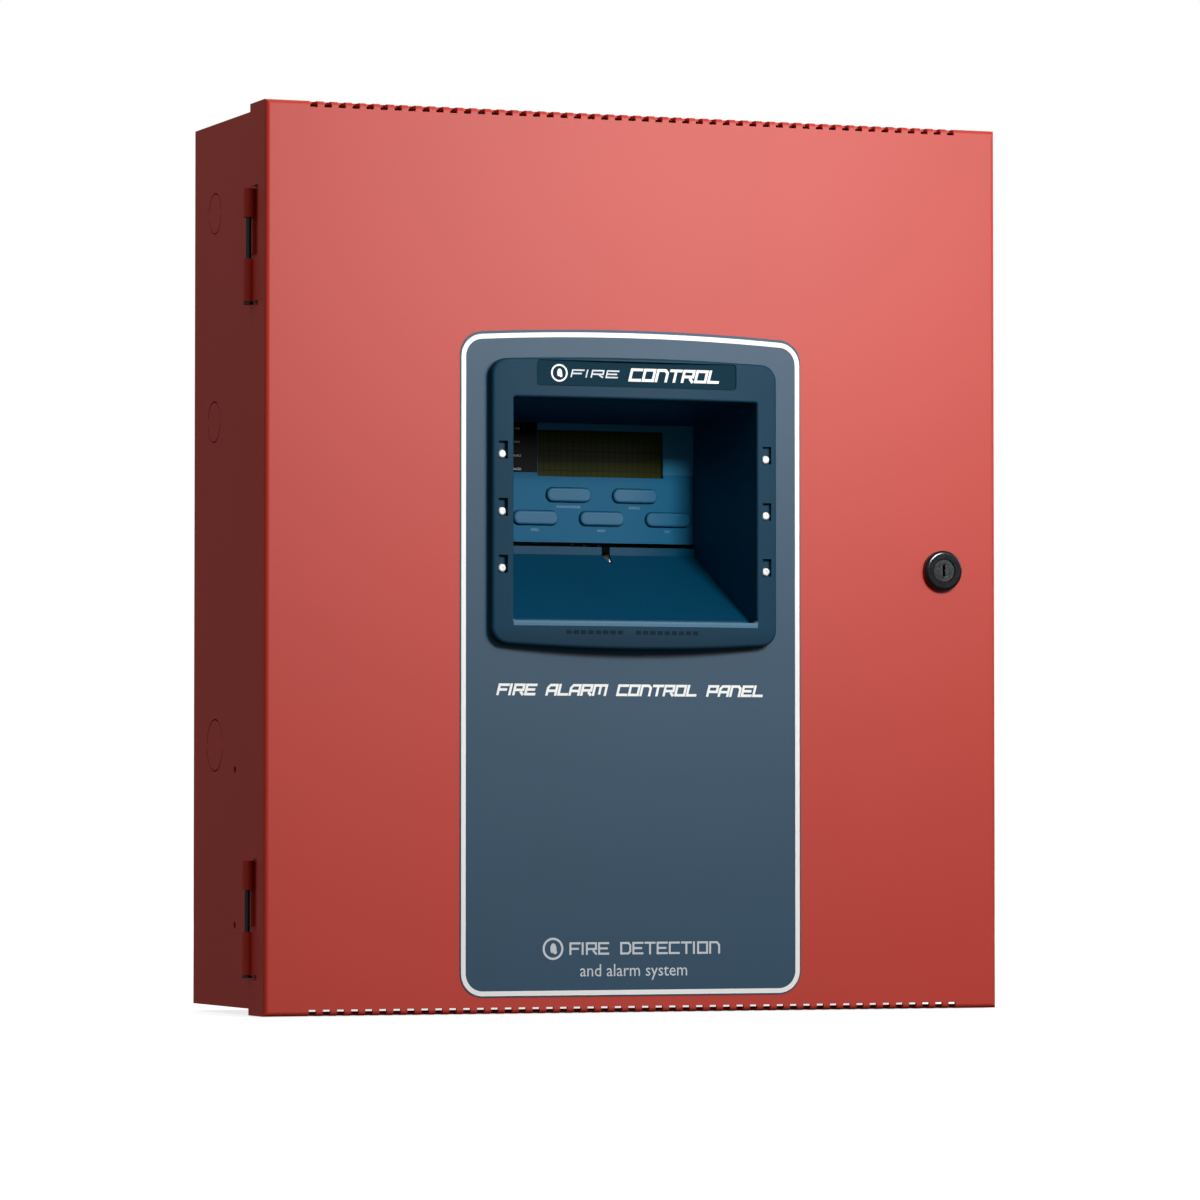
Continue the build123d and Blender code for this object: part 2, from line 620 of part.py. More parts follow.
def bezel_screw(x, z):
    head = rod_y(x, z, BEZEL_SCREW_HEAD_R, pocket_floor(), pocket_floor() - 1.4)
    head = fillet(head.faces().sort_by(Axis.Y)[0].edges(), 0.9)
    head -= Pos(x, pocket_floor() - 1.4, z) * Box(2.2, 1.0, 0.6)
    head -= Pos(x, pocket_floor() - 1.4, z) * Box(0.6, 1.0, 2.2)
    return head + rod_y(x, z, BEZEL_SCREW_R, Y_DOOR_IN + SHROUD_FLANGE_T + 3, pocket_floor())


def instruction_sheet():
    return block(PANEL_X - SHEET_W / 2, PANEL_X + SHEET_W / 2, Y_DOOR_IN + SHEET_PAPER_T, Y_DOOR_IN,
                 SHEET_LOW, SHEET_HIGH)


# ---------------------------------------------------------------- lock
def lock_profile(grow, y_back, y_front):
    """The barrel's section: round with two flats."""
    round_part = Pos(LOCK_X, LOCK_Z) * Circle(LOCK_BARREL_R + grow)
    flats = Pos(LOCK_X, LOCK_Z) * Rectangle(4 * LOCK_BARREL_R, 2 * (LOCK_FLAT + grow))
    return slab(round_part & flats, y_back, y_front)


def cam_front():
    return Y_STRIKE + SHEET + STRIKE_GAP


def lock_body():
    rear = cam_front() - 0.4
    head = rod_y(LOCK_X, LOCK_Z, LOCK_HEAD_R, Y_DOOR, Y_DOOR - LOCK_HEAD_T)
    head = fillet(head.faces().sort_by(Axis.Y)[0].edges(), 1.8)
    barrel = lock_profile(0, rear, Y_DOOR)
    bore = rod_y(LOCK_X, LOCK_Z, LOCK_PLUG_R + LOCK_RUN, rear + 1, Y_DOOR - LOCK_HEAD_T - 1)
    return head + barrel - bore


def lock_nut():
    hexagon = Pos(LOCK_X, LOCK_Z) * RegularPolygon(12.5, 6)
    nut = slab(hexagon, Y_DOOR_IN + LOCK_NUT_T, Y_DOOR_IN)
    return nut - lock_profile(0, Y_DOOR_IN + LOCK_NUT_T + 1, Y_DOOR_IN - 1)


def lock_plug():
    """Turning core: a key slot in front, and a square tail that drives the cam."""
    front = Y_DOOR - LOCK_HEAD_T + 0.5
    plug = rod_y(LOCK_X, LOCK_Z, LOCK_PLUG_R, cam_front(), front)
    plug = chamfer(plug.faces().sort_by(Axis.Y)[0].edges(), 0.4)
    tail = cam_front() + CAM_T
    plug += slab(Pos(LOCK_X, LOCK_Z) * Rectangle(CAM_SQUARE, CAM_SQUARE), tail, cam_front())
    plug -= slab(Pos(LOCK_X, LOCK_Z) * Circle(3.9), front + 1.0, front - 1)
    plug += slab(Pos(LOCK_X, LOCK_Z) * Circle(3.7), front + 1.0, front + 0.2)
    plug -= slab(Pos(LOCK_X, LOCK_Z) * Rectangle(1.5, 6.6), front + 7.0, front - 1)
    return plug - rod_y(LOCK_X, LOCK_Z, 1.6, tail + 1, tail - 8.0)


def lock_cam():
    """Tongue that hangs down when unlocked."""
    hub = Pos(LOCK_X, LOCK_Z) * Circle(CAM_HUB_R)
    tongue = Pos(LOCK_X, LOCK_Z - CAM_REACH / 2) * RectangleRounded(CAM_W, CAM_REACH, 3.0)
    hole = Pos(LOCK_X, LOCK_Z) * Rectangle(CAM_SQUARE, CAM_SQUARE)
    return slab(hub + tongue - hole, cam_front() + CAM_T, cam_front())


def cam_screw():
    y = cam_front() + CAM_T
    head = slab(Pos(LOCK_X, LOCK_Z) * RegularPolygon(5.6, 6), y + 2.6, y)
    return head + rod_y(LOCK_X, LOCK_Z, 1.6, y, y - 7.0)


# ---------------------------------------------------------------- chassis and boards
def chassis_places():
    xs = (-CHASSIS_X + CHASSIS_HOLE_IN, CHASSIS_X - CHASSIS_HOLE_IN)
    zs = (CHASSIS_LOW + CHASSIS_HOLE_IN, CHASSIS_HIGH - CHASSIS_HOLE_IN)
    return [(x, z) for x in xs for z in zs]


def board_places():
    xs = (-BOARD_X + BOARD_HOLE_IN, 0, BOARD_X - BOARD_HOLE_IN)
    return [(x, z) for x in xs for z in (BOARD_LOW + BOARD_HOLE_IN, BOARD_HIGH - BOARD_HOLE_IN)]


def board_chassis():
    """Plated steel plate with folded long edges, held on four studs."""
    plate = block(-CHASSIS_X, CHASSIS_X, Y_CHASSIS - CHASSIS_T, Y_CHASSIS, CHASSIS_LOW, CHASSIS_HIGH)
    for z, inward in ((CHASSIS_LOW, 1), (CHASSIS_HIGH, -1)):
        plate += block(-CHASSIS_X, CHASSIS_X, Y_CHASSIS, Y_CHASSIS + CHASSIS_FOLD, z, z + inward * CHASSIS_T)
    for x, z in chassis_places():
        plate -= rod_y(x, z, STUD_R + STUD_FIT, Y_CHASSIS + 1, Y_CHASSIS - CHASSIS_T - 1)
    for x in (-CHASSIS_VENT_X, CHASSIS_VENT_X):
        for z in CHASSIS_VENT_Z:
            vent = rounded(CHASSIS_VENT_W, CHASSIS_VENT_H, CHASSIS_VENT_R, x, z)
            plate -= slab(vent, Y_CHASSIS + 1, Y_CHASSIS - CHASSIS_T - 1)
    return plate


def pan_screw(x, z, y_seat):
    """Pan-head screw with a cross recess; it enters towards the wall from y_seat."""
    head = rod_y(x, z, SCREW_HEAD_R, y_seat, y_seat - SCREW_HEAD_H)
    head = fillet(head.faces().sort_by(Axis.Y)[0].edges(), 1.1)
    head -= Pos(x, y_seat - SCREW_HEAD_H, z) * Box(4.2, 1.6, 0.9)
    head -= Pos(x, y_seat - SCREW_HEAD_H, z) * Box(0.9, 1.6, 4.2)
    return head + rod_y(x, z, SCREW_R, y_seat + SCREW_LONG, y_seat)


def hex_nut(x, z, y_seat):
    nut = slab(Pos(x, z) * RegularPolygon(NUT_R, 6), y_seat, y_seat - NUT_T)
    return nut - rod_y(x, z, STUD_R, y_seat + 1, y_seat - NUT_T - 1)


def mounting_screws():
    solids = [hex_nut(x, z, Y_CHASSIS - CHASSIS_T) for x, z in chassis_places()]
    solids += [pan_screw(x, z, Y_PARTS) for x, z in board_places()]
    solids += [hex_nut(x, z, Y_BACK - BRACKET_T) for x, z in bracket_places()]
    solids += [hex_nut(x, z, strip_deck()) for x, z in strip_places()]
    solids.append(hex_nut(EARTH_X, EARTH_Z, Y_BACK - EARTH_SHOULDER - LUG_T))
    return group(solids)


def board_standoffs():
    seat = Y_CHASSIS - CHASSIS_T
    solids = []
    for x, z in board_places():
        post = slab(Pos(x, z) * RegularPolygon(STANDOFF_R, 6), seat, Y_BOARD)
        solids.append(post - rod_y(x, z, SCREW_R, Y_PARTS + SCREW_LONG, Y_BOARD - 1))
    return group(solids)


def main_board():
    board = block(-BOARD_X, BOARD_X, Y_PARTS, Y_BOARD, BOARD_LOW, BOARD_HIGH)
    return board - [rod_y(x, z, SCREW_R + 0.2, Y_BOARD + 1, Y_PARTS - 1) for x, z in board_places()]


def terminal_banks():
    """Start, pole count, height and wire side of each terminal block."""
    for z, up in TERMINAL_ROWS:
        for x, poles in TERMINAL_BANKS:
            yield x, poles, z, up


def terminal_blocks():
    solids = []
    front = Y_PARTS - TERMINAL_DEEP
    half = TERMINAL_TALL / 2
    for x, poles, z, up in terminal_banks():
        body = block(x, x + poles * TERMINAL_POLE, front, Y_PARTS, z - half, z + half)
        body = chamfer(body.edges().filter_by(Axis.X).group_by(Axis.Y)[0], 2.2)
        for n in range(poles):
            xc = x + (n + 0.5) * TERMINAL_POLE
            body -= rod_y(xc, z, 1.9, front + 4, front - 1)
            mouth = z + up * half
            body -= block(xc - 1.9, xc + 1.9, Y_PARTS - 6.6, Y_PARTS - 2.6, mouth - up * 3.5, mouth + up)
        solids.append(body)
    return group(solids)


def terminal_screws():
    solids = []
    for x, poles, z, _ in terminal_banks():
        for n in range(poles):
            xc = x + (n + 0.5) * TERMINAL_POLE
            top = Y_PARTS - TERMINAL_DEEP + 1.2
            screw = rod_y(xc, z, 1.75, top + 2.4, top)
            solids.append(screw - Pos(xc, top, z) * Rot(0, 17 * n, 0) * Box(3.6, 1.2, 0.6))
    for n in range(3):
        seat = strip_deck() - STRIP_BOSS - LUG_T
        screw = rod_y(strip_pole(n), STRIP_Z, STRIP_SCREW_R, seat, seat - 3.0)
        solids.append(screw - Pos(strip_pole(n), seat - 3.0, STRIP_Z) * Box(6.2, 1.4, 0.9))
    return group(solids)


def relays():
    solids = []
    for x, z in RELAYS:
        can = block(x, x + RELAY_W, Y_PARTS - RELAY_T, Y_PARTS, z, z + RELAY_H)
        solids.append(chamfer(can.faces().sort_by(Axis.Y)[0].edges(), 1.0))
    return group(solids)


def capacitors():
    solids = []
    for x, z, radius, tall in CAPACITORS:
        can = rod_y(x, z, radius, Y_PARTS, Y_PARTS - tall)
        can = fillet(can.faces().sort_by(Axis.Y)[0].edges(), 0.8)
        groove = Pos(x, Y_PARTS - 3.0, z) * Rot(90, 0, 0) * Torus(radius + 0.15, 0.6)
        solids.append(can - groove)
    return group(solids)


def heat_sink():
    """Extruded aluminium comb that stands on the board."""
    front = Y_PARTS - SINK_H
    comb = block(SINK_X, SINK_X + SINK_W, front, Y_PARTS, SINK_Z, SINK_Z + SINK_BASE)
    for n in range(SINK_FINS):
        x = SINK_X + n * (SINK_W - SINK_FIN) / (SINK_FINS - 1)
        comb += block(x, x + SINK_FIN, front, Y_PARTS, SINK_Z + SINK_BASE, SINK_Z + SINK_H)
    return comb


def ic_chips():
    """Flat chip bodies, and two regulators against the heat sink."""
    solids = []
    for x, z, wide, tall, thick in CHIPS:
        chip = block(x, x + wide, Y_PARTS - thick, Y_PARTS - CHIP_LIFT, z, z + tall)
        solids.append(chamfer(chip.faces().sort_by(Axis.Y)[0].edges(), 0.4))
    for x in REGULATORS:
        solids.append(block(x, x + REGULATOR_W, Y_PARTS - 19.0, Y_PARTS - 4.0, SINK_Z - REGULATOR_T, SINK_Z))
    return group(solids)


def phone_jacks():
    """Square sockets that open upwards."""
    solids = []
    for x, z in JACKS:
        jack = block(x, x + JACK_W, Y_PARTS - JACK_T, Y_PARTS, z, z + JACK_H)
        jack -= block(x + 2.2, x + JACK_W - 2.2, Y_PARTS - JACK_T + 2, Y_PARTS - 3.0, z + 4.0, z + JACK_H + 1)
        solids.append(jack)
    return group(solids)


def piezo_sounder():
    front = Y_PARTS - SOUNDER_T
    can = rod_y(*SOUNDER, SOUNDER_R, Y_PARTS, front)
    can = fillet(can.faces().sort_by(Axis.Y)[0].edges(), 1.0)
    return can - rod_y(*SOUNDER, SOUNDER_HOLE_R, front + 4.0, front - 1.0)


def fuse_clips():
    solids = []
    middle = Y_PARTS - FUSE_RISE
    half = FUSE_R + 0.8
    for x, z in FUSES:
        for end in (x + 0.5, x + FUSE_LONG - CLIP_W - 0.5):
            clip = block(end, end + CLIP_W, middle - 2.0, Y_PARTS, z - half, z + half)
            bore = Pos(end + CLIP_W / 2, middle, z) * Rot(0, 90, 0) * Cylinder(FUSE_R, CLIP_W + 3)
            mouth = block(end - 1, end + CLIP_W + 1, middle - 4, middle, z - FUSE_R, z + FUSE_R)
            solids.append(clip - bore - mouth)
    return group(solids)


def fuses():
    return group(
        Pos(x + FUSE_LONG / 2, Y_PARTS - FUSE_RISE, z) * Rot(0, 90, 0) * Cylinder(FUSE_R, FUSE_LONG)
        for x, z in FUSES
    )


def pin_headers():
    """Shrouded headers: battery, transformer, and the two display links."""
    solids = []
    front = Y_PARTS - HEADER_T
    for x, z in HEADERS:
        shell = block(x, x + HEADER_W, front, Y_PARTS, z, z + HEADER_H)
        shell -= block(x + 1, x + HEADER_W - 1, front - 1, Y_PARTS - 2, z + 1, z + HEADER_H - 1)
        for n in range(HEADER_PINS):
            xc = x + (n + 0.5) * HEADER_W / HEADER_PINS
            zc = z + HEADER_H / 2
            shell += block(xc - 0.5, xc + 0.5, front + 1.5, Y_PARTS - 2, zc - 0.5, zc + 0.5)
        solids.append(shell)
    return group(solids)


# ---------------------------------------------------------------- display
def display_places():
    xs = (FASCIA_X[0] + STANDOFF_IN, FASCIA_X[1] - STANDOFF_IN)
    zs = (FASCIA_Z[0] + STANDOFF_IN, FASCIA_Z[1] - STANDOFF_IN)
    return [(x, z) for x in xs for z in zs]


def display_standoffs():
    rear = DISPLAY_BOARD_FRONT + BOARD_T
    return group(slab(Pos(x, z) * RegularPolygon(2.6, 6), Y_PARTS, rear) for x, z in display_places())


def display_board():
    return block(FASCIA_X[0], FASCIA_X[1], DISPLAY_BOARD_FRONT, DISPLAY_BOARD_FRONT + BOARD_T, *FASCIA_Z)


def key_places():
    """Two keys above three, about half a pitch apart."""
    return [(x + (n - (count - 1) / 2) * KEY_PITCH, z) for x, z, count in KEY_ROWS for n in range(count)]


def key_outline(grow):
    wide, tall = KEY_W + 2 * grow, KEY_H + 2 * grow
    return RectangleRounded(wide, tall, tall / 2 - 0.2)


def key(x, z):
    """Cap with a crowned face, a flange behind the fascia and a plunger over its dome."""
    seat = Y_FASCIA + FASCIA_T + KEY_BEHIND
    cap = slab(Pos(x, z) * key_outline(0), seat, Y_FASCIA - KEY_PROUD)
    cap = fillet(cap.faces().sort_by(Axis.Y)[0].edges(), 1.2)
    flange = slab(Pos(x, z) * key_outline(KEY_FLANGE), seat + KEY_FLANGE_T, seat)
    return cap + flange + rod_y(x, z, KEY_STEM_R, key_stem_end(), seat)


def key_stem_end():
    return Y_FASCIA + FASCIA_T + KEY_BEHIND + KEY_FLANGE_T + KEY_STEM


def key_dome_mat():
    """Silicone mat with one dome under each key; the domes stop short of the plungers."""
    xs = [x for x, _ in key_places()]
    zs = [z for _, z in key_places()]
    half_w, half_h = KEY_W / 2 - 1, KEY_H / 2 + 1
    mat = block(min(xs) - half_w, max(xs) + half_w, DISPLAY_BOARD_FRONT - 1.0, DISPLAY_BOARD_FRONT,
                min(zs) - half_h, max(zs) + half_h)
    dome_top = key_stem_end() + KEY_TRAVEL + 0.3
    for x, z in key_places():
        rise = DISPLAY_BOARD_FRONT - 1.0 - dome_top
        mat += Pos(x, dome_top + rise / 2, z) * Rot(90, 0, 0) * Cone(4.2, 2.6, rise)
    return mat


def led_places():
    return [
        (FASCIA_X[0] + LED_IN + LED_PITCH_X * column, LED_TOP - LED_PITCH_Z * row)
        for column in (0, 1) for row in range(LED_ROWS)
    ]


def display_fascia():
    """Shallow tray over the display board, with openings for the glass, the keys and the lamps."""
    (x0, x1), (z0, z1) = FASCIA_X, FASCIA_Z
    tray = slab(rounded(x1 - x0, z1 - z0, 3.0, (x0 + x1) / 2, (z0 + z1) / 2), DISPLAY_BOARD_FRONT, Y_FASCIA)
    tray -= block(x0 + FASCIA_RIM, x1 - FASCIA_RIM, Y_FASCIA + FASCIA_T, DISPLAY_BOARD_FRONT + 1,
                  z0 + FASCIA_RIM, z1 - FASCIA_RIM)
    tray -= slab(Pos(LCD_X, LCD_Z) * Rectangle(LCD_W, LCD_H), DISPLAY_BOARD_FRONT, Y_FASCIA - 1)
    for x, z in key_places():
        tray -= slab(Pos(x, z) * key_outline(KEY_CLEAR), DISPLAY_BOARD_FRONT, Y_FASCIA - 1)
    for x, z in led_places():
        tray -= rod_y(x, z, LED_R + LED_RUN, DISPLAY_BOARD_FRONT, Y_FASCIA - 1)
    return tray


def lcd_frame():
    outer = rounded(LCD_W + 2 * LCD_FRAME_RIM, LCD_H + 2 * LCD_FRAME_RIM - 2, 1.0, LCD_X, LCD_Z)
    frame = slab(outer, DISPLAY_BOARD_FRONT, Y_FASCIA + FASCIA_T)
    return frame - slab(glass_outline(), DISPLAY_BOARD_FRONT - 4, Y_FASCIA)


def glass_outline():
    return Pos(LCD_X, LCD_Z) * Rectangle(LCD_W + 1, LCD_H + 1)


def lcd_glass():
    return slab(glass_outline(), DISPLAY_BOARD_FRONT - 4, Y_FASCIA + FASCIA_T + 0.4)


def status_leds():
    solids = []
    for x, z in led_places():
        stem = rod_y(x, z, LED_R, DISPLAY_BOARD_FRONT, Y_FASCIA - 0.4)
        solids.append(fillet(stem.faces().sort_by(Axis.Y)[0].edges(), LED_R * 0.8))
    return group(solids)


# ---------------------------------------------------------------- power parts
def strip_front():
    return Y_BACK - STRIP_T


def strip_deck():
    """Face of the strip's base, where its nuts sit."""
    return strip_front() + STRIP_RIDGE


def strip_places():
    return [(STRIP_X + side * STRIP_HOLE_X, STRIP_Z) for side in (-1, 1)]


def strip_pole(n):
    return STRIP_X + (n - 1) * STRIP_PITCH


def mains_terminal_strip():
    """Barrier strip: a base with raised walls between three poles."""
    low, high = STRIP_Z - STRIP_H / 2, STRIP_Z + STRIP_H / 2
    base = block(STRIP_X - STRIP_W / 2, STRIP_X + STRIP_W / 2, strip_deck(), Y_BACK, low, high)
    for wall in (-STRIP_END_WALL, -STRIP_PITCH / 2, STRIP_PITCH / 2, STRIP_END_WALL):
        x = STRIP_X + wall
        base += block(x - 0.4, x + 0.4, strip_front(), strip_deck(), low, high)
    for n in range(3):
        base += rod_y(strip_pole(n), STRIP_Z, 3.6, strip_deck(), strip_deck() - STRIP_BOSS)
    for x, z in strip_places():
        base -= rod_y(x, z, STUD_R + STUD_FIT, Y_BACK + 1, strip_front())
    return base


def bracket_places():
    offset = CORE_W / 2 + BRACKET_FOOT / 2 + 1.0
    return [(TRANSFORMER_X + side * offset, TRANSFORMER_Z) for side in (-1, 1)]


def core_span():
    """Back and front of the laminated core; the winding stands out on both sides."""
    back = Y_BACK - 2.0 - (WINDING_D - CORE_D) / 2
    return back, back - CORE_D


def transformer_core():
    back, front = core_span()
    half_w, half_h = CORE_W / 2, CORE_H / 2
    core = block(TRANSFORMER_X - half_w, TRANSFORMER_X + half_w, front, back,
                 TRANSFORMER_Z - half_h, TRANSFORMER_Z + half_h)
    hole = block(TRANSFORMER_X - WINDING_W / 2, TRANSFORMER_X + WINDING_W / 2, front - 1, back + 1,
                 TRANSFORMER_Z - WINDING_H / 2, TRANSFORMER_Z + WINDING_H / 2)
    return core - hole


def transformer_winding():
    back, front = core_span()
    over = (WINDING_D - CORE_D) / 2
    half_w, half_h = WINDING_W / 2, WINDING_H / 2
    coil = block(TRANSFORMER_X - half_w, TRANSFORMER_X + half_w, front - over, back + over,
                 TRANSFORMER_Z - half_h, TRANSFORMER_Z + half_h)
    return fillet(coil.faces().sort_by(Axis.Y)[0].edges(), 2.5)


def transformer_bracket():
    """Steel strap over the core, with a foot on each side; the winding shows through its window."""
    _, front = core_span()
    half_w = CORE_W / 2
    z0, z1 = TRANSFORMER_Z - BRACKET_H / 2, TRANSFORMER_Z + BRACKET_H / 2
    out = half_w + BRACKET_T
    strap = block(TRANSFORMER_X - out, TRANSFORMER_X + out, front - BRACKET_T, Y_BACK, z0, z1)
    strap -= block(TRANSFORMER_X - half_w, TRANSFORMER_X + half_w, front, Y_BACK + 1, z0 - 1, z1 + 1)
    window = Pos(TRANSFORMER_X, TRANSFORMER_Z) * Rectangle(WINDING_W + 1, WINDING_H + 1)
    strap -= slab(window, front + 1, front - 3)
    foot = half_w + BRACKET_FOOT
    half_foot = BRACKET_FOOT_H / 2
    for side in (-1, 1):
        near, far = TRANSFORMER_X + side * half_w, TRANSFORMER_X + side * foot
        strap += block(near, far, Y_BACK - BRACKET_T, Y_BACK,
                       TRANSFORMER_Z - half_foot, TRANSFORMER_Z + half_foot)
    for x, z in bracket_places():
        strap -= rod_y(x, z, STUD_R + STUD_FIT, Y_BACK + 1, Y_BACK - BRACKET_T - 1)
    return strap


def battery_spans():
    left = PANEL_X - BATTERY_GAP / 2 - BATTERY_W
    right = PANEL_X + BATTERY_GAP / 2
    return [(left, left + BATTERY_W), (right, right + BATTERY_W)]


def battery_box(x0, x1, low, high):
    case = block(x0, x1, -BATTERY_BACK - BATTERY_D, -BATTERY_BACK, low, high)
    return fillet(case.edges().filter_by(Axis.Z), 2.5)


def battery_cases():
    return group(battery_box(x0, x1, BATTERY_LOW, BATTERY_TOP - BATTERY_LID) for x0, x1 in battery_spans())


def battery_lids():
    """Lids with a raised centre strip; each terminal stands in a corner recess."""
    solids = []
    for x0, x1 in battery_spans():
        lid = battery_box(x0, x1, BATTERY_TOP - BATTERY_LID, BATTERY_TOP)
        for x in tab_centres(x0, x1):
            lid -= block(x - TAB_ROOM, x + TAB_ROOM, TAB_Y - TAB_ROOM, TAB_Y + TAB_ROOM,
                         BATTERY_TOP - TAB_SINK, BATTERY_TOP + 1)
        solids.append(lid)
    return group(solids)


def tab_centres(x0, x1):
    return (x0 + TAB_IN, x1 - TAB_IN)


def battery_terminals():
    base = BATTERY_TOP - TAB_SINK
    return group(
        block(x - TAB_W / 2, x + TAB_W / 2, TAB_Y - TAB_T / 2, TAB_Y + TAB_T / 2, base, base + TAB_H)
        for span in battery_spans() for x in tab_centres(*span)
    )


# ---------------------------------------------------------------- wires
def wire(route, radius=WIRE_R):
    """A round wire along straight runs joined by tangent arcs that use most of the runs' length."""
    points = [Vector(*p) for p in route]
    radii = []
    for a, b, c in zip(points, points[1:], points[2:]):
        turn = math.radians((b - a).get_angle(c - b))
        shorter = min((b - a).length, (c - b).length)
        radii.append(BEND_SHARE * shorter / math.tan(turn / 2))
    path = FilletPolyline(*points, radius=radii)
    return sweep(Plane(origin=path @ 0, z_dir=path % 0) * Circle(radius), path)


def tab_top(battery, side):
    """Where a wire leaves the receptacle on a battery tab."""
    span = battery_spans()[battery]
    return tab_centres(*span)[side], TAB_Y, RECEPTACLE_LOW + RECEPTACLE_LONG


def plug_exit(header, n):
    """Where wire n leaves the front of the plug in a header."""
    x, z = header
    return x + PLUG_WIRE_X + PLUG_WIRE_PITCH * n, Y_PARTS - HEADER_T - PLUG_PROUD, z + HEADER_H / 2


def strip_wire_end(n, up):
    return strip_pole(n), strip_deck() - STRIP_BOSS - LUG_R, STRIP_Z + up * LUG_END


def earth_wire_end():
    return EARTH_X + LUG_END, Y_BACK - EARTH_SHOULDER - LUG_R, EARTH_Z


def strip_lug(n, up):
    """Fork tongue under a pole's screw, with a crimp barrel."""
    x, y, z_end = strip_wire_end(n, up)
    seat = strip_deck() - STRIP_BOSS
    tongue = block(x - 2.6, x + 2.6, seat - LUG_T, seat, STRIP_Z - up * 2.4, STRIP_Z + up * 5.0)
    return tongue + rod_z(x, y, LUG_R, STRIP_Z + up * 4.0, z_end)


def earth_lug():
    """Ring tongue on the earth stud."""
    x_end, y, _ = earth_wire_end()
    seat = Y_BACK - EARTH_SHOULDER
    ring = rod_y(EARTH_X, EARTH_Z, NUT_R, seat, seat - LUG_T)
    barrel = Pos((EARTH_X + NUT_R + x_end) / 2, y, EARTH_Z) * Rot(0, 90, 0) * Cylinder(
        LUG_R, x_end - EARTH_X - NUT_R
    )
    neck = block(EARTH_X, EARTH_X + NUT_R + 2, seat - LUG_T, seat, EARTH_Z - LUG_R, EARTH_Z + LUG_R)
    return ring + neck + barrel - rod_y(EARTH_X, EARTH_Z, STUD_R, seat + 1, seat - NUT_T)


def wire_connectors():
    """Receptacles on the battery tabs, plugs in the two power headers, and crimped lugs."""
    solids = []
    for battery in (0, 1):
        for side in (0, 1):
            x, y, top = tab_top(battery, side)
            body = block(x - 4.4, x + 4.4, y - 2.0, y + 2.0, RECEPTACLE_LOW, top)
            body = fillet(body.edges().filter_by(Axis.Z), 1.2)
            body -= block(x - TAB_W / 2, x + TAB_W / 2, y - TAB_T / 2, y + TAB_T / 2,
                          RECEPTACLE_LOW - 1, RECEPTACLE_LOW + TAB_H)
            solids.append(body)
    front = Y_PARTS - HEADER_T
    inset = 1.2
    for x, z in (BATTERY_HEADER, TRANSFORMER_HEADER):
        solids.append(block(x + inset, x + HEADER_W - inset, front - PLUG_PROUD, front,
                            z + inset, z + HEADER_H - inset))
    solids += [strip_lug(0, 1), strip_lug(1, 1), strip_lug(2, -1), earth_lug()]
    return group(solids)


def battery_wire_red():
    x0, y0, z0 = plug_exit(BATTERY_HEADER, 1)
    x1, y1, z1 = tab_top(1, 1)
    return wire([(x0, y0, z0), (x0, y0 - 10, z0), (x0 + 2, y0 - 11, z0 - 33), (x0 + 22, y0 - 12, z0 - 57),
                 (x1 - 10, y1 - 1, z1 + 33), (x1, y1, z1 + 16), (x1, y1, z1)])


def battery_wire_black():
    x0, y0, z0 = plug_exit(BATTERY_HEADER, 0)
    x1, y1, z1 = tab_top(0, 0)
    return wire([(x0, y0, z0), (x0, y0 - 13, z0), (x0 - 4, y0 - 13, z0 - 35),
                 (x0 - 36, y0 - 12, z0 - 68), (x0 - 104, y0 - 11, z0 - 86),
                 (x1 + 34, y1 - 2, z1 + 11.5), (x1, y1, z1 + 12.5), (x1, y1, z1)])


def battery_wire_jumper():
    x0, y0, z0 = tab_top(0, 1)
    x1, y1, z1 = tab_top(1, 0)
    return wire([(x0, y0, z0), (x0, y0, z0 + 12), (x0 + 9, y0 - 2, z0 + 24), (x1 - 9, y1 - 2, z1 + 24),
                 (x1, y1, z1 + 12), (x1, y1, z1)])


def transformer_wires():
    """Two leads from the winding up to the board, and two to the mains strip."""
    _, front = core_span()
    top = TRANSFORMER_Z + WINDING_H / 2
    y = front - (WINDING_D - CORE_D) / 4
    leads = []
    for n in (0, 1):
        x0 = TRANSFORMER_X + 4 + 9 * n
        x1, y1, z1 = plug_exit(TRANSFORMER_HEADER, n)
        leads.append(wire([(x0, y, top), (x0, y, top + 14), (x1 - 2, y1 - 12, z1 - 16),
                           (x1, y1 - 12, z1), (x1, y1, z1)], THIN_WIRE_R))
    for n in (0, 1):
        x0 = TRANSFORMER_X + WINDING_W / 2
        z0 = TRANSFORMER_Z - 6 + 9 * n
        x1, y1, z1 = strip_wire_end(n, 1)
        leads.append(wire([(x0, y, z0), (x0 + 18, y, z0), (x0 + 31, y + 12, z1 + 10 + 6 * n),
                           (x1 - 8, y1 - 7, z1 + 22 + 4 * n), (x1, y1, z1 + 12), (x1, y1, z1)], THIN_WIRE_R))
    return group(leads)


def earth_wire():
    x0, y0, z0 = strip_wire_end(2, -1)
    x1, y1, z1 = earth_wire_end()
    return wire([(x0, y0, z0), (x0, y0, z0 - 11), (x0 - 2, y1, z1), (x1, y1, z1)], THIN_WIRE_R)


# ---------------------------------------------------------------- write the parts
KEY_NAMES = ["key_acknowledge", "key_silence", "key_drill", "key_reset", "key_test"]

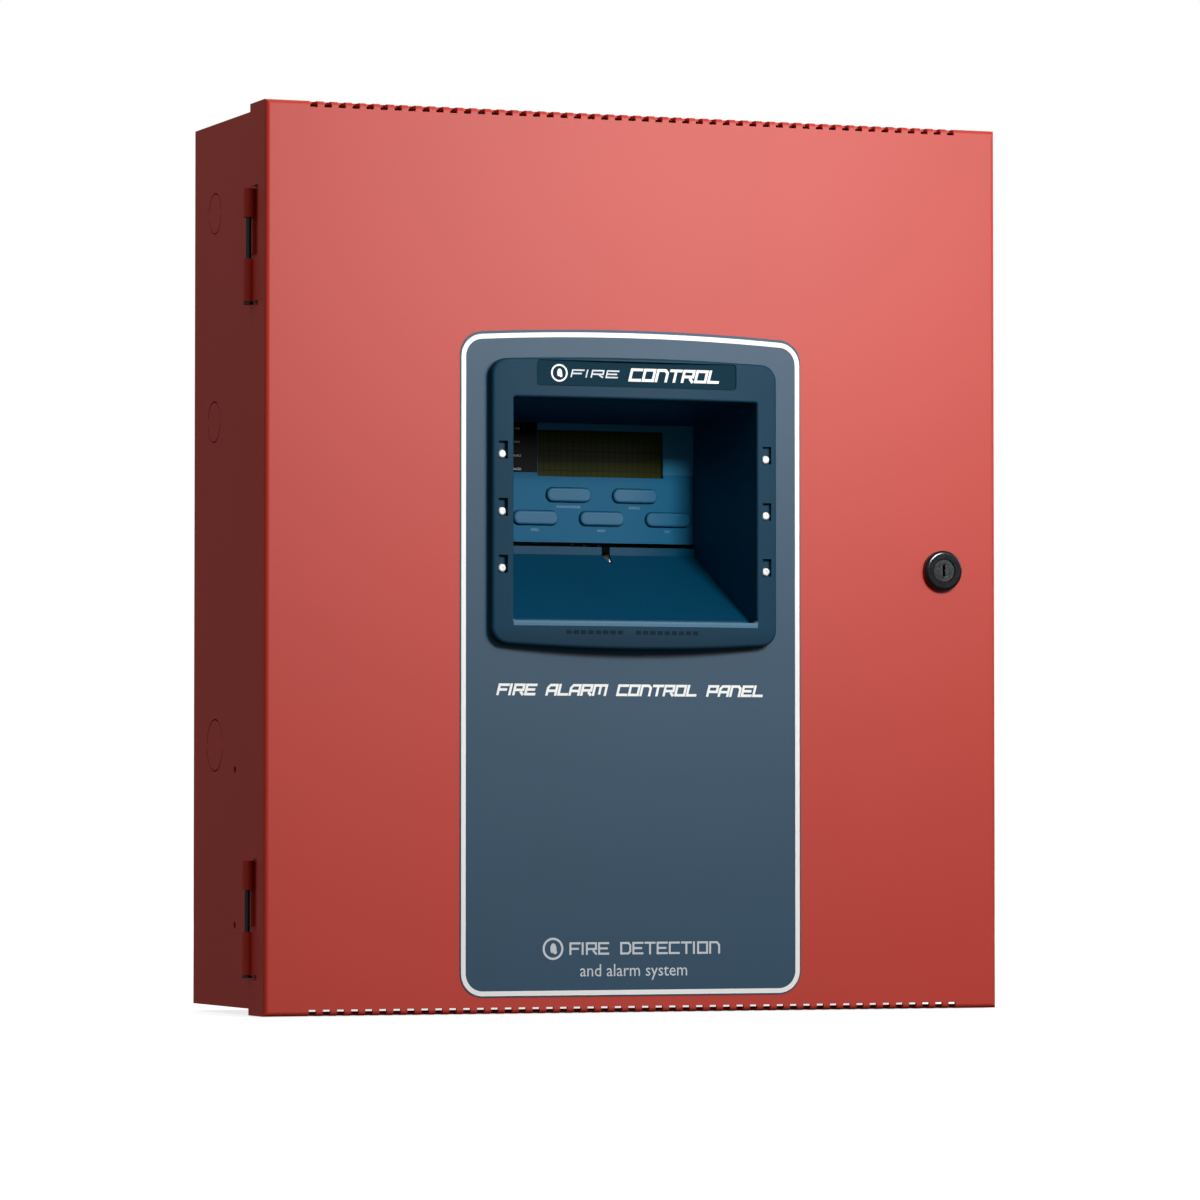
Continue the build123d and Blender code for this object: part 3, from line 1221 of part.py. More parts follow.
parts = {
    "backbox_wrap": backbox_wrap(),
    "backbox_top": end_cap(1),
    "backbox_bottom": end_cap(-1),
    "lock_strike": lock_strike(),
    "hinge_leaves_box": group(box_leaf(z) for z in HINGE_Z),
    "hinge_pins": group(hinge_pin(z) for z in HINGE_Z),
    "weld_studs": weld_studs(),
    "board_chassis": board_chassis(),
    "mounting_screws": mounting_screws(),
    "board_standoffs": board_standoffs(),
    "main_board": main_board(),
    "terminal_blocks": terminal_blocks(),
    "terminal_screws": terminal_screws(),
    "relays": relays(),
    "capacitors": capacitors(),
    "heat_sink": heat_sink(),
    "ic_chips": ic_chips(),
    "phone_jacks": phone_jacks(),
    "piezo_sounder": piezo_sounder(),
    "fuse_clips": fuse_clips(),
    "fuses": fuses(),
    "pin_headers": pin_headers(),
    "display_standoffs": display_standoffs(),
    "display_board": display_board(),
    "lcd_frame": lcd_frame(),
    "lcd_glass": lcd_glass(),
    "key_dome_mat": key_dome_mat(),
    "display_fascia": display_fascia(),
    "status_leds": status_leds(),
    "transformer_core": transformer_core(),
    "transformer_winding": transformer_winding(),
    "transformer_bracket": transformer_bracket(),
    "mains_terminal_strip": mains_terminal_strip(),
    "battery_cases": battery_cases(),
    "battery_lids": battery_lids(),
    "battery_terminals": battery_terminals(),
    "battery_wire_red": battery_wire_red(),
    "battery_wire_black": battery_wire_black(),
    "battery_wire_jumper": battery_wire_jumper(),
    "wire_connectors": wire_connectors(),
    "earth_wire": earth_wire(),
    "transformer_wires": transformer_wires(),
    "door_shell": door_shell(),
    "hinge_leaves_door": group(door_leaf(z) for z in HINGE_Z),
    "door_label": door_label(),
    "display_bezel": display_bezel(),
    "name_plate": name_plate(),
    "window_shroud": window_shroud(),
    "bezel_screws": group(bezel_screw(x, z) for x in bezel_screw_columns() for z in SCREW_ROWS),
    "instruction_sheet": instruction_sheet(),
    "lock_body": lock_body(),
    "lock_nut": lock_nut(),
    "lock_plug": lock_plug(),
    "lock_cam": lock_cam(),
    "cam_screw": cam_screw(),
}
for name, (x, z) in zip(KEY_NAMES, key_places()):
    parts[name] = key(x, z)

os.makedirs("parts", exist_ok=True)
for name, shape in parts.items():
    export_step(shape, f"parts/{name}.step")
print(len(parts), "parts written")
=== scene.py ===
import json
import math

import bmesh
import bpy
import numpy as np
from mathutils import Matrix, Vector
from mathutils.bvhtree import BVHTree


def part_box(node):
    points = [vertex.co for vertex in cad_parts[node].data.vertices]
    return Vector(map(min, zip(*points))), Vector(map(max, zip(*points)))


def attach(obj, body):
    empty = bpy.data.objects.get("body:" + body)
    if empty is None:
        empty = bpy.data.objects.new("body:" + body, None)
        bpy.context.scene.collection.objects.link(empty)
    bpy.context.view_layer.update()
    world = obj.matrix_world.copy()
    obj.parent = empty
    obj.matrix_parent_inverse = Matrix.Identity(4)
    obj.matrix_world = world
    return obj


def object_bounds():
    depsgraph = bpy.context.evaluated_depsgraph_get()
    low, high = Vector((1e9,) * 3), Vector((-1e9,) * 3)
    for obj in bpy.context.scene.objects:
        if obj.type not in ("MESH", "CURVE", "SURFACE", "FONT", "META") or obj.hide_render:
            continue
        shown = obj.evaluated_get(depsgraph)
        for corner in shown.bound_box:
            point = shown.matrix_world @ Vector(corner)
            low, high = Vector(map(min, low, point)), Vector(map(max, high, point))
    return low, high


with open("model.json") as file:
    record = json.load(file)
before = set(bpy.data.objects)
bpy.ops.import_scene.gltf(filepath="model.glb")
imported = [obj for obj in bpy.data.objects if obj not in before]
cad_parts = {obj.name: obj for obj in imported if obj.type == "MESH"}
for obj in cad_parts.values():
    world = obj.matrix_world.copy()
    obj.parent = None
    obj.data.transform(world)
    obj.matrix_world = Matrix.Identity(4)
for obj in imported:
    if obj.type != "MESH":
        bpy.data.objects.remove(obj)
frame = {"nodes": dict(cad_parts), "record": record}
cadLow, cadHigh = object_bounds()
nodes = frame["nodes"]
print("frame loaded:", len(nodes), "nodes")


def tone(red, green, blue):
    # an everyday 0-255 colour as the linear one that shaders want
    return tuple(c / 12.92 if c <= 0.04045 else ((c + 0.055) / 1.055) ** 2.4
                 for c in (red / 255, green / 255, blue / 255)) + (1.0,)


class Wire:
    # a socket that can be written into sums; each operator adds one Math node
    def __init__(self, finish, socket):
        self.finish, self.socket = finish, socket

    def math(self, operation, *others):
        node = self.finish.add("ShaderNodeMath", {"operation": operation}, [self, *others])
        return Wire(self.finish, node.outputs[0])

    def __add__(self, other):
        return self.math("ADD", other)

    def __sub__(self, other):
        return self.math("SUBTRACT", other)

    def __mul__(self, other):
        return self.math("MULTIPLY", other)

    def __truediv__(self, other):
        return self.math("DIVIDE", other)

    def __rsub__(self, other):
        node = self.finish.add("ShaderNodeMath", {"operation": "SUBTRACT"}, [other, self])
        return Wire(self.finish, node.outputs[0])

    def __gt__(self, other):
        return self.math("GREATER_THAN", other)

    def __lt__(self, other):
        return self.math("LESS_THAN", other)

    def clamp(self, low, high):
        return self.math("MAXIMUM", low).math("MINIMUM", high)

    __radd__ = __add__
    __rmul__ = __mul__


class Finish:
    # one material: a Principled surface with patterns read from object coordinates
    def __init__(self, name, **constants):
        self.material = bpy.data.materials.new(name)
        self.material.use_nodes = True
        self.tree = self.material.node_tree
        self.surface = next(n for n in self.tree.nodes if n.type == "BSDF_PRINCIPLED")
        for socketName, value in constants.items():
            self.surface.inputs[socketName.replace("_", " ")].default_value = value
        self.coordinate = None

    def add(self, kind, settings=None, inputs=None):
        node = self.tree.nodes.new(kind)
        for key, value in (settings or {}).items():
            setattr(node, key, value)
        pairs = inputs.items() if isinstance(inputs, dict) else enumerate(inputs or [])
        for key, value in pairs:
            if isinstance(value, Wire):
                self.tree.links.new(value.socket, node.inputs[key])
            else:
                node.inputs[key].default_value = value
        return node

    def place(self):
        if self.coordinate is None:
            self.coordinate = Wire(self, self.add("ShaderNodeTexCoord").outputs["Object"])
        return self.coordinate

    def axes(self):
        split = self.add("ShaderNodeSeparateXYZ", None, [self.place()])
        return [Wire(self, split.outputs[n]) for n in range(3)]

    def facing(self):
        # the true surface direction, as x, y and z parts
        geometry = self.add("ShaderNodeNewGeometry")
        split = self.add("ShaderNodeSeparateXYZ", None, [Wire(self, geometry.outputs["True Normal"])])
        return [Wire(self, split.outputs[n]) for n in range(3)]

    def noise(self, scale, detail=2.0, stretch=None, roughness=0.5):
        where = self.place()
        if stretch:
            mapping = self.add("ShaderNodeMapping", None, {"Vector": where, "Scale": stretch})
            where = Wire(self, mapping.outputs[0])
        node = self.add("ShaderNodeTexNoise", None,
                        {"Vector": where, "Scale": scale, "Detail": detail, "Roughness": roughness})
        return Wire(self, node.outputs[0])

    def cells(self, scale):
        # distance to the nearest cell's centre, measured squarely
        node = self.add("ShaderNodeTexVoronoi", {"feature": "F1", "distance": "CHEBYCHEV"},
                        {"Vector": self.place(), "Scale": scale})
        return Wire(self, node.outputs["Distance"])

    def mix(self, factor, first, second):
        node = self.add("ShaderNodeMix", {"data_type": "RGBA"}, {0: factor, 6: first, 7: second})
        return Wire(self, node.outputs[2])

    def set(self, socketName, wire):
        self.tree.links.new(wire.socket, self.surface.inputs[socketName])
        return self

    def bump(self, height, strength, distance):
        node = self.add("ShaderNodeBump", None,
                        {"Strength": strength, "Distance": distance, "Height": height})
        return self.set("Normal", Wire(self, node.outputs[0]))


def shade(colour, factor, lift=0.0):
    # a colour made darker or lighter, kept below white
    return tuple(min(1.0, c * factor + lift) for c in colour[:3]) + (1.0,)


def moulded(name, colour, rough=0.45, grain=1500, depth=0.25, specular=0.5, shift=0.12):
    # moulded plastic: colour = mix(darker, lighter, drift), roughness = rough - 0.08 + 0.16 spark,
    # and the same fine spark is the bump
    finish = Finish(name, Roughness=rough, Specular_IOR_Level=specular)
    drift = finish.noise(14, 3)
    finish.set("Base Color", finish.mix(drift, shade(colour, 1 - shift), shade(colour, 1 + shift)))
    spark = finish.noise(grain, 3, roughness=0.6)
    finish.set("Roughness", (spark * 0.16 + (rough - 0.08)).clamp(0.05, 1.0))
    return finish.bump(spark, depth, 0.00008)


def metal(name, colour, rough=0.3, brush=None, depth=0.15, metallic=1.0, grain=600):
    # plated or drawn metal: colour = mix(dark, colour, 0.6 grain + 0.5 cloud), and the roughness
    # follows the same two noises; brush stretches the grain along one axis
    finish = Finish(name, Roughness=rough, Metallic=metallic)
    grainWire = finish.noise(grain, 4, stretch=brush, roughness=0.65)
    cloud = finish.noise(28, 3)
    patch = (grainWire * 0.6 + cloud * 0.5).clamp(0, 1)
    finish.set("Base Color", finish.mix(patch, shade(colour, 0.78), colour))
    finish.set("Roughness", (grainWire * 0.22 + cloud * 0.12 + (rough - 0.15)).clamp(0.04, 1.0))
    return finish.bump(grainWire, depth, 0.00005)


def powderCoat(name, colour, pale):
    # powder coat: colour = mix(colour, pale, 0.5 drift + 0.55 speck); the bump is fine orange peel
    finish = Finish(name, Roughness=0.55, Specular_IOR_Level=0.35)
    peel = finish.noise(1150, 3, roughness=0.55)
    speck = finish.noise(2600, 2, roughness=0.7)
    drift = finish.noise(5, 2)
    base = finish.mix((drift * 0.5 + speck * 0.55).clamp(0, 1), colour, pale)
    finish.set("Base Color", base)
    finish.set("Roughness", (speck * 0.2 + 0.45).clamp(0.2, 0.8))
    return finish.bump(peel * 0.7 + speck * 0.3, 0.28, 0.0001)


redPaint = powderCoat("redPowderCoat", tone(172, 37, 21), tone(200, 54, 35))
labelFilm = moulded("labelFilm", tone(31, 68, 92), rough=0.55, grain=2200, depth=0.18,
                    specular=0.29, shift=0.06)
bezelDark = moulded("bezelMarks", tone(8, 32, 48), rough=0.5, grain=1400, depth=0.1, specular=0.05)
shroudPlastic = moulded("shroudPlastic", tone(2, 63, 91), rough=0.5, grain=1300, depth=0.2,
                        specular=0.1)
platePrint = moulded("namePlateFilm", tone(10, 48, 64), rough=0.5, grain=2400, depth=0.1,
                     specular=0.02)

bezelLook = {
    # edge colours a painted highlight along the window sill; foot is the painted shade at the bezel's
    # lower bar
    "blue": tone(20, 56, 77), "paleBlue": tone(25, 61, 82), "edge": tone(92, 132, 156),
    "foot": tone(4, 16, 26), "footDark": 0.45, "footFade": 0.013,
    "edgeLow": -0.0352, "edgeHigh": -0.0312, "middle": -0.004, "edgeHalf": 0.0712,
}


def bezelFinish():
    # grained moulding; a painted highlight, a paler line where z lies between edgeLow and edgeHigh,
    # and below it
    # painted shade, a slow darkening: mix(blue, foot, footDark * fall), fall = (edgeLow - z) /
    # footFade kept to 0..1
    look = bezelLook
    finish = Finish("bezelPlastic", Roughness=0.45, Specular_IOR_Level=0.055)
    x, y, z = finish.axes()
    drift, spark = finish.noise(14, 3), finish.noise(1400, 3, roughness=0.6)
    plastic = finish.mix(drift, look["blue"], look["paleBlue"])
    # painted shade: the colour darkens toward foot below edgeLow
    fall = ((z * -1 + look["edgeLow"]) / look["footFade"]).clamp(0, 1)
    plastic = finish.mix(fall * look["footDark"], plastic, look["foot"])
    # painted highlight: a pale line along the sill
    across = (x - look["middle"]).math("ABSOLUTE") < look["edgeHalf"]
    line = (z > look["edgeLow"]) * (z < look["edgeHigh"]) * across
    paintedHighlight = line * (spark * 0.3 + 0.6)
    finish.set("Base Color", finish.mix(paintedHighlight, plastic, look["edge"]))
    return finish.bump(spark, 0.22, 0.00008)


bezelPlastic = bezelFinish()

fasciaLook = {
    # upper is a painted light band; print is a black painted shadow field
    "shadowEdge": -0.0292, "paintedFoot": 0.0528, "blue": tone(28, 92, 126),
    "paleBlue": tone(34, 100, 134), "upper": tone(46, 118, 152), "print": tone(5, 7, 9),
}


def fasciaFinish():
    # blue below; above a limit in z, a paler band round the display, painted light on the shaded top;
    # and a black field left of the display, painted shadow for the deep shade in the top-left corner;
    # each is chosen by comparing x and z with a limit
    finish = Finish("fasciaPlastic", Roughness=0.5, Specular_IOR_Level=0.04)
    x, y, z = finish.axes()
    # painted shadow: black where x is left of the edge and z above the foot
    paintedShadow = (x < fasciaLook["shadowEdge"]) * (z > fasciaLook["paintedFoot"])
    grainWire = finish.noise(1600, 3)
    keyField = finish.mix(grainWire, fasciaLook["blue"], fasciaLook["paleBlue"])
    # painted light: a paler blue above the foot
    plastic = finish.mix(z > fasciaLook["paintedFoot"], keyField, fasciaLook["upper"])
    finish.set("Base Color", finish.mix(paintedShadow, plastic, fasciaLook["print"]))
    return finish.bump(grainWire, 0.2, 0.00006)


keyRubber = moulded("keyRubber", tone(30, 96, 130), rough=0.55, grain=1900, depth=0.2, specular=0.2)

displayLook = {"cellWide": 0.00355, "cellTall": 0.0054, "gutter": 0.12, "dark": tone(44, 50, 14),
               "light": tone(58, 60, 18), "line": tone(38, 43, 12)}


def displayGlass():
    # unlit display: olive, with darker lines where fract(x / cellWide) or fract(z / cellTall)
    # is under gutter
    look = displayLook
    finish = Finish("displayGlass", Roughness=0.45, Specular_IOR_Level=0.02)
    x, y, z = finish.axes()
    columns = (x / look["cellWide"]).math("FRACT") < look["gutter"]
    rows = (z / look["cellTall"]).math("FRACT") < look["gutter"]
    unlit = finish.mix(finish.noise(60, 3), look["dark"], look["light"])
    return finish.set("Base Color", finish.mix(columns.math("MAXIMUM", rows), unlit, look["line"]))


boardLook = {"pitch": 0.0017, "trackShare": 0.38, "pads": 210, "padReach": 0.12, "regions": 34,
             "padColour": tone(196, 190, 160)}


def circuitBoard(name, mask, copper):
    # tracks: fract(x / pitch) or fract(z / pitch) under a limit, where a stretched noise is high;
    # a slow noise decides which way they run; square pads where a cell's centre is near
    look = boardLook
    finish = Finish(name, Roughness=0.34, Coat_Weight=0.25)
    x, y, z = finish.axes()
    levelPart = finish.noise(1, 1, stretch=(22, 1, 280)) > 0.5
    uprightPart = finish.noise(1, 1, stretch=(280, 1, 22)) > 0.5
    level = ((z / look["pitch"]).math("FRACT") < look["trackShare"]) * levelPart
    upright = ((x / look["pitch"]).math("FRACT") < look["trackShare"]) * uprightPart
    way = finish.noise(look["regions"], 0) > 0.5
    tracks = level * way + upright * (1 - way)
    pads = finish.cells(look["pads"]) < look["padReach"]
    laminate = finish.mix(finish.noise(420, 2), mask, shade(mask, 0.8))
    base = finish.mix(tracks, laminate, copper)
    finish.set("Base Color", finish.mix(pads, base, look["padColour"]))
    finish.set("Metallic", pads * 0.8)
    return finish.bump(tracks.math("MAXIMUM", pads), 0.25, 0.00006)


def capSleeve():
    # capacitor: a pale stripe where the surface faces left, bare aluminium where it faces front
    finish = Finish("capacitorSleeve", Roughness=0.3)
    nx, ny, nz = finish.facing()
    grainWire = finish.noise(900, 3)
    stripe = nx < -0.86
    top = ny < -0.7
    sleeve = finish.mix(stripe, tone(26, 32, 58), tone(150, 156, 170))
    body = finish.mix(grainWire * 0.3, sleeve, tone(12, 14, 24))
    finish.set("Base Color", finish.mix(top, body, tone(196, 198, 200)))
    finish.set("Metallic", top * 1.0)
    return finish.bump(grainWire, 0.1, 0.00005)


def windingTape():
    # yellow tape in turns 6.2 mm wide; a brown lap line where fract(z / 6.2 mm) is under 0.07
    finish = Finish("windingTape", Roughness=0.38, Coat_Weight=0.25)
    x, y, z = finish.axes()
    turn = (z * (1000 / 6.2)).math("FRACT")
    lap = turn < 0.07
    crease = finish.noise(260, 4, stretch=(1, 1, 3))
    tape = finish.mix(crease, tone(198, 158, 46), tone(222, 186, 74))
    finish.set("Base Color", finish.mix(lap, tape, tone(128, 92, 28)))
    return finish.bump(turn * 0.5 + crease * 0.4, 0.5, 0.00025)


def laminations():
    # core sheets seen on edge: a dark line where fract(y / 0.9 mm) is under 0.28
    finish = Finish("coreLaminations", Roughness=0.45, Metallic=0.55)
    x, y, z = finish.axes()
    sheetLine = (y * (1000 / 0.9)).math("FRACT")
    varnish = finish.noise(70, 4)
    steel = finish.mix(varnish, tone(58, 58, 60), tone(88, 86, 84))
    finish.set("Base Color", finish.mix(sheetLine < 0.28, steel, tone(28, 27, 27)))
    return finish.bump(sheetLine, 0.4, 0.0002)


def fuseGlass():
    # glass tube with a nickel cap at each end, where |x - middle| is over 4.6 mm
    finish = Finish("fuseTube", Roughness=0.12, Coat_Weight=0.5)
    x, y, z = finish.axes()
    along = ((x + 0.140) * 1000).math("ABSOLUTE")
    cap = along > 4.6
    finish.set("Base Color", finish.mix(cap, tone(150, 168, 170), tone(200, 198, 190)))
    finish.set("Metallic", cap * 1.0)
    return finish.set("Roughness", (finish.noise(500, 2) * 0.15 + 0.08).clamp(0.05, 1))


paperLook = {"middle": -0.004, "half": 0.094, "top": -0.088, "foot": -0.222, "pitch": 0.0052,
             "barLow": -0.0845, "barHigh": -0.0755, "barColour": tone(150, 32, 30)}


def paperSheet():
    # rows of short grey bars stand for text: ink where fract(z / pitch) < 0.34 and a stretched
    # noise is high; a red bar lies between barLow and barHigh
    look = paperLook
    finish = Finish("printedSheet", Roughness=0.7)
    x, y, z = finish.axes()
    column = (x - look["middle"]).math("ABSOLUTE") < look["half"]
    row = (z / look["pitch"]).math("FRACT") < 0.34
    word = finish.noise(1, 2, stretch=(420, 1, 190)) > 0.47
    ink = row * word * column * (z < look["top"]) * (z > look["foot"])
    bar = (z > look["barLow"]) * (z < look["barHigh"]) * column
    fibre = finish.noise(700, 4)
    sheet = finish.mix(fibre, tone(222, 220, 210), tone(236, 234, 226))
    inked = finish.mix(ink * 0.75, sheet, tone(60, 62, 66))
    finish.set("Base Color", finish.mix(bar, inked, look["barColour"]))
    return finish.bump(fibre, 0.15, 0.00005)


def wireSleeve(name, colour):
    # PVC insulation: colour = mix(0.8 colour, colour, grain), with the same grain as bump
    finish = Finish(name, Roughness=0.35, Coat_Weight=0.15)
    grainWire = finish.noise(700, 3)
    finish.set("Base Color", finish.mix(grainWire, shade(colour, 0.8), colour))
    return finish.bump(grainWire, 0.12, 0.00006)


def batteryCase(name, colour):
    # coarse moulding with upright scuffs: mix(colour, pale, 0.6 scuff + 0.3 grain)
    finish = Finish(name, Roughness=0.5)
    grainWire = finish.noise(900, 4)
    scuff = finish.noise(120, 3, stretch=(1, 1, 0.15))
    pale = shade(colour, 1.5, 0.01)
    finish.set("Base Color", finish.mix((scuff * 0.6 + grainWire * 0.3).clamp(0, 1), colour, pale))
    finish.set("Roughness", (scuff * 0.3 + 0.35).clamp(0.2, 0.8))
    return finish.bump(grainWire, 0.3, 0.00012)


zinc = metal("zincPlate", tone(196, 198, 196), rough=0.34)
brassPlate = metal("nickelledBrass", tone(202, 190, 150), rough=0.28)
blackPlate = metal("blackChrome", tone(58, 60, 62), rough=0.16, metallic=0.9, depth=0.05)
finishes = {
    "red_paint": redPaint,
    "zinc_plate": zinc,
    "pin_steel": metal("drawnSteel", tone(78, 78, 80), rough=0.4, brush=(1, 1, 0.05)),
    "chassis_steel": metal("galvanised", tone(178, 182, 184), rough=0.42, grain=60, depth=0.05),
    "brass_plate": brassPlate,
    "board_green": circuitBoard("boardMask", tone(20, 78, 44), tone(34, 104, 58)),
    "display_board_green": circuitBoard("displayBoardMask", tone(18, 74, 52), tone(30, 98, 66)),
    "terminal_green": moulded("terminalPlastic", tone(40, 122, 72), rough=0.42, grain=1200),
    "screw_steel": metal("screwSteel", tone(206, 206, 208), rough=0.24),
    "relay_black": moulded("relayCase", tone(34, 34, 36), rough=0.3, grain=900, depth=0.12),
    "capacitor_sleeve": capSleeve(),
    "heat_sink_black": metal("blackAnodised", tone(40, 40, 42), rough=0.42, brush=(1, 0.08, 1),
                             metallic=0.8),
    "chip_black": moulded("chipEpoxy", tone(30, 30, 31), rough=0.55, grain=2400, depth=0.3),
    "jack_ivory": moulded("jackPlastic", tone(214, 206, 184), rough=0.4),
    "sounder_black": moulded("sounderCase", tone(28, 28, 28), rough=0.5, grain=1800, depth=0.3),
    "clip_tin": metal("tinnedClip", tone(204, 202, 190), rough=0.3),
    "fuse_glass": fuseGlass(),
    "header_white": moulded("headerNylon", tone(224, 220, 208), rough=0.45),
    "frame_black": metal("displayFrame", tone(36, 36, 37), rough=0.4, metallic=0.5),
    "lcd_olive": displayGlass(),
    "mat_grey": moulded("siliconeMat", tone(120, 122, 126), rough=0.65, grain=800),
    "fascia_blue": fasciaFinish(),
    "lamp_lens": moulded("lampLens", tone(120, 128, 60), rough=0.22, grain=400, depth=0.05),
    "core_steel": laminations(),
    "winding_yellow": windingTape(),
    "strip_black": moulded("phenolicStrip", tone(30, 30, 30), rough=0.4, grain=1000),
    "battery_grey": batteryCase("batteryCase", tone(60, 62, 66)),
    "battery_lid": batteryCase("batteryLid", tone(44, 45, 48)),
    "tab_tin": metal("tinnedTab", tone(210, 208, 196), rough=0.3),
    "wire_red": wireSleeve("wireRed", tone(190, 28, 24)),
    "wire_black": wireSleeve("wireBlack", tone(30, 30, 31)),
    "wire_blue": wireSleeve("wireBlue", tone(34, 70, 150)),
    "wire_green": wireSleeve("wireGreen", tone(40, 132, 60)),
    "wire_white": wireSleeve("wireWhite", tone(220, 218, 208)),
    "connector_nylon": moulded("connectorNylon", tone(220, 214, 194), rough=0.45),
    "label_blue": labelFilm,
    "bezel_blue": bezelPlastic,
    "plate_grey": platePrint,
    "shroud_teal": shroudPlastic,
    "bezel_screw_white": metal("screwWhite", tone(235, 235, 235), rough=0.4, metallic=0.1),
    "paper": paperSheet(),
    "lock_chrome": blackPlate,
    "lock_black": metal("lockCore", tone(70, 72, 74), rough=0.22, metallic=1.0, depth=0.05),
    "key_grey": keyRubber,
}
for row in frame["record"]["subparts"]:
    mesh = nodes[row["node"]].data
    for n in range(max(1, len(mesh.materials))):
        if mesh.materials:
            mesh.materials[n] = finishes[row["material_slot"]].material
        else:
            mesh.materials.append(finishes[row["material_slot"]].material)
print("finishes on the frame:", len(finishes))


def makePiece(name, verts, faces, finish, body, bevel=None, closed=True):
    # the faces of closed shapes are turned to point outwards; open ones keep the order they have
    mesh = bpy.data.meshes.new(name)
    mesh.from_pydata(np.asarray(verts, float).tolist(), [], faces)
    if closed:
        shape = bmesh.new()
        shape.from_mesh(mesh)
        bmesh.ops.recalc_face_normals(shape, faces=shape.faces[:])
        shape.to_mesh(mesh)
        shape.free()
    mesh.materials.append(finish.material)
    piece = bpy.data.objects.new(name, mesh)
    bpy.context.scene.collection.objects.link(piece)
    if bevel:
        cut = piece.modifiers.new("edge", "BEVEL")
        cut.width, cut.segments, cut.limit_method = bevel, 2, "ANGLE"
    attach(piece, body)
    return piece


whiteInk = moulded("whiteInk", tone(240, 240, 238), rough=0.45, grain=2600, depth=0.08, shift=0.03)
paleInk = moulded("paleInk", tone(196, 202, 208), rough=0.45, grain=2600, depth=0.08, shift=0.03)

labelSize = {"middle": -0.004, "width": 0.199, "low": -0.2357, "shoulder": 0.1229, "arch": 0.0036,
             "corner": 0.013, "inset": 0.0007, "line": 0.0026, "thick": 0.00007, "steps": 14}


def labelOutline(inset):
    # corner arcs of radius r - inset about fixed centres;
    # the top follows z = shoulder + arch (1 - (2 x / w)^2) - inset
    s = labelSize
    half, r = s["width"] / 2, s["corner"]
    t = np.linspace(0, np.pi / 2, s["steps"])
    rr = r - inset
    low, top = s["low"], s["shoulder"]
    slope = np.arctan(4 * s["arch"] / s["width"])
    topT = np.linspace(0, np.pi / 2 - slope, s["steps"])
    corners = [
        (half - r + rr * np.sin(t), low + r - rr * np.cos(t)),
        (half - r + rr * np.cos(topT), top - r + rr * np.sin(topT)),
    ]
    x = np.linspace(half - r + rr * np.cos(topT[-1]), -(half - r + rr * np.cos(topT[-1])), 41)
    archZ = top + s["arch"] * (1 - (2 * x / s["width"]) ** 2)
    archZ = archZ - archZ[0] + corners[1][1][-1]
    right = np.array(corners).transpose(0, 2, 1).reshape(-1, 2)
    left = right[::-1] * [-1, 1]
    loop = np.vstack([right, np.column_stack([x, archZ])[1:-1], left])
    return loop + [s["middle"], 0]


def ringStrip(name, outer, inner, yBack, thick, finish, body):
    # four loops, outer and inner, at the back and at the front, joined by quads all the way round
    count = len(outer)
    yFront = yBack - thick
    loops = [np.column_stack([loop[:, 0], np.full(count, y), loop[:, 1]])
             for loop, y in ((outer, yBack), (outer, yFront), (inner, yFront), (inner, yBack))]
    verts = np.vstack(loops)
    i = np.arange(count)
    j = (i + 1) % count
    faces = [np.column_stack([a * count + i, a * count + j, b * count + j, b * count + i])
             for a, b in ((0, 1), (1, 2), (2, 3), (3, 0))]
    return makePiece(name, verts, np.vstack(faces).tolist(), finish, body)


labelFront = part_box("door_label")[0].y
inkLift = 0.00002        # print starts this far inside the surface it lies on
labelY, plateY = labelFront + inkLift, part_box("name_plate")[0].y + inkLift
borderInner = labelSize["inset"] + labelSize["line"]
ringStrip("label_border", labelOutline(labelSize["inset"]), labelOutline(borderInner), labelY,
          labelSize["thick"], whiteInk, "door")


def words(name, lines, y, finish, body, thick=0.00006):
    # plain printed letters; each line is (text, x, z, height, width or None), centred on x, z
    parts, faces, start = [], [], 0
    for text, x, z, height, width in lines:
        curve = bpy.data.curves.new(name, "FONT")
        curve.body, curve.align_x, curve.align_y = text, "CENTER", "CENTER"
        curve.size, curve.extrude, curve.resolution_u = 1.0, 0.5, 2
        holder = bpy.data.objects.new(name + "Curve", curve)
        bpy.context.scene.collection.objects.link(holder)
        bpy.context.view_layer.update()
        graph = bpy.context.evaluated_depsgraph_get()
        mesh = bpy.data.meshes.new_from_object(holder.evaluated_get(graph))
        bpy.data.objects.remove(holder)
        co = np.zeros(len(mesh.vertices) * 3)
        mesh.vertices.foreach_get("co", co)
        co = co.reshape(-1, 3)
        low, high = co.min(0), co.max(0)
        tall = height / (high[1] - low[1])
        wide = width / (high[0] - low[0]) if width else tall
        middle = (low + high) / 2
        parts.append(np.column_stack([(co[:, 0] - middle[0]) * wide + x,
                                      y - (co[:, 2] + 0.5) * thick,
                                      (co[:, 1] - middle[1]) * tall + z]))
        faces += [[v + start for v in polygon.vertices] for polygon in mesh.polygons]
        start += len(co)
        bpy.data.meshes.remove(mesh)
    # a letter's faces and sides aren't joined, and they already point outwards
    return makePiece(name, np.vstack(parts), faces, finish, body, closed=False)


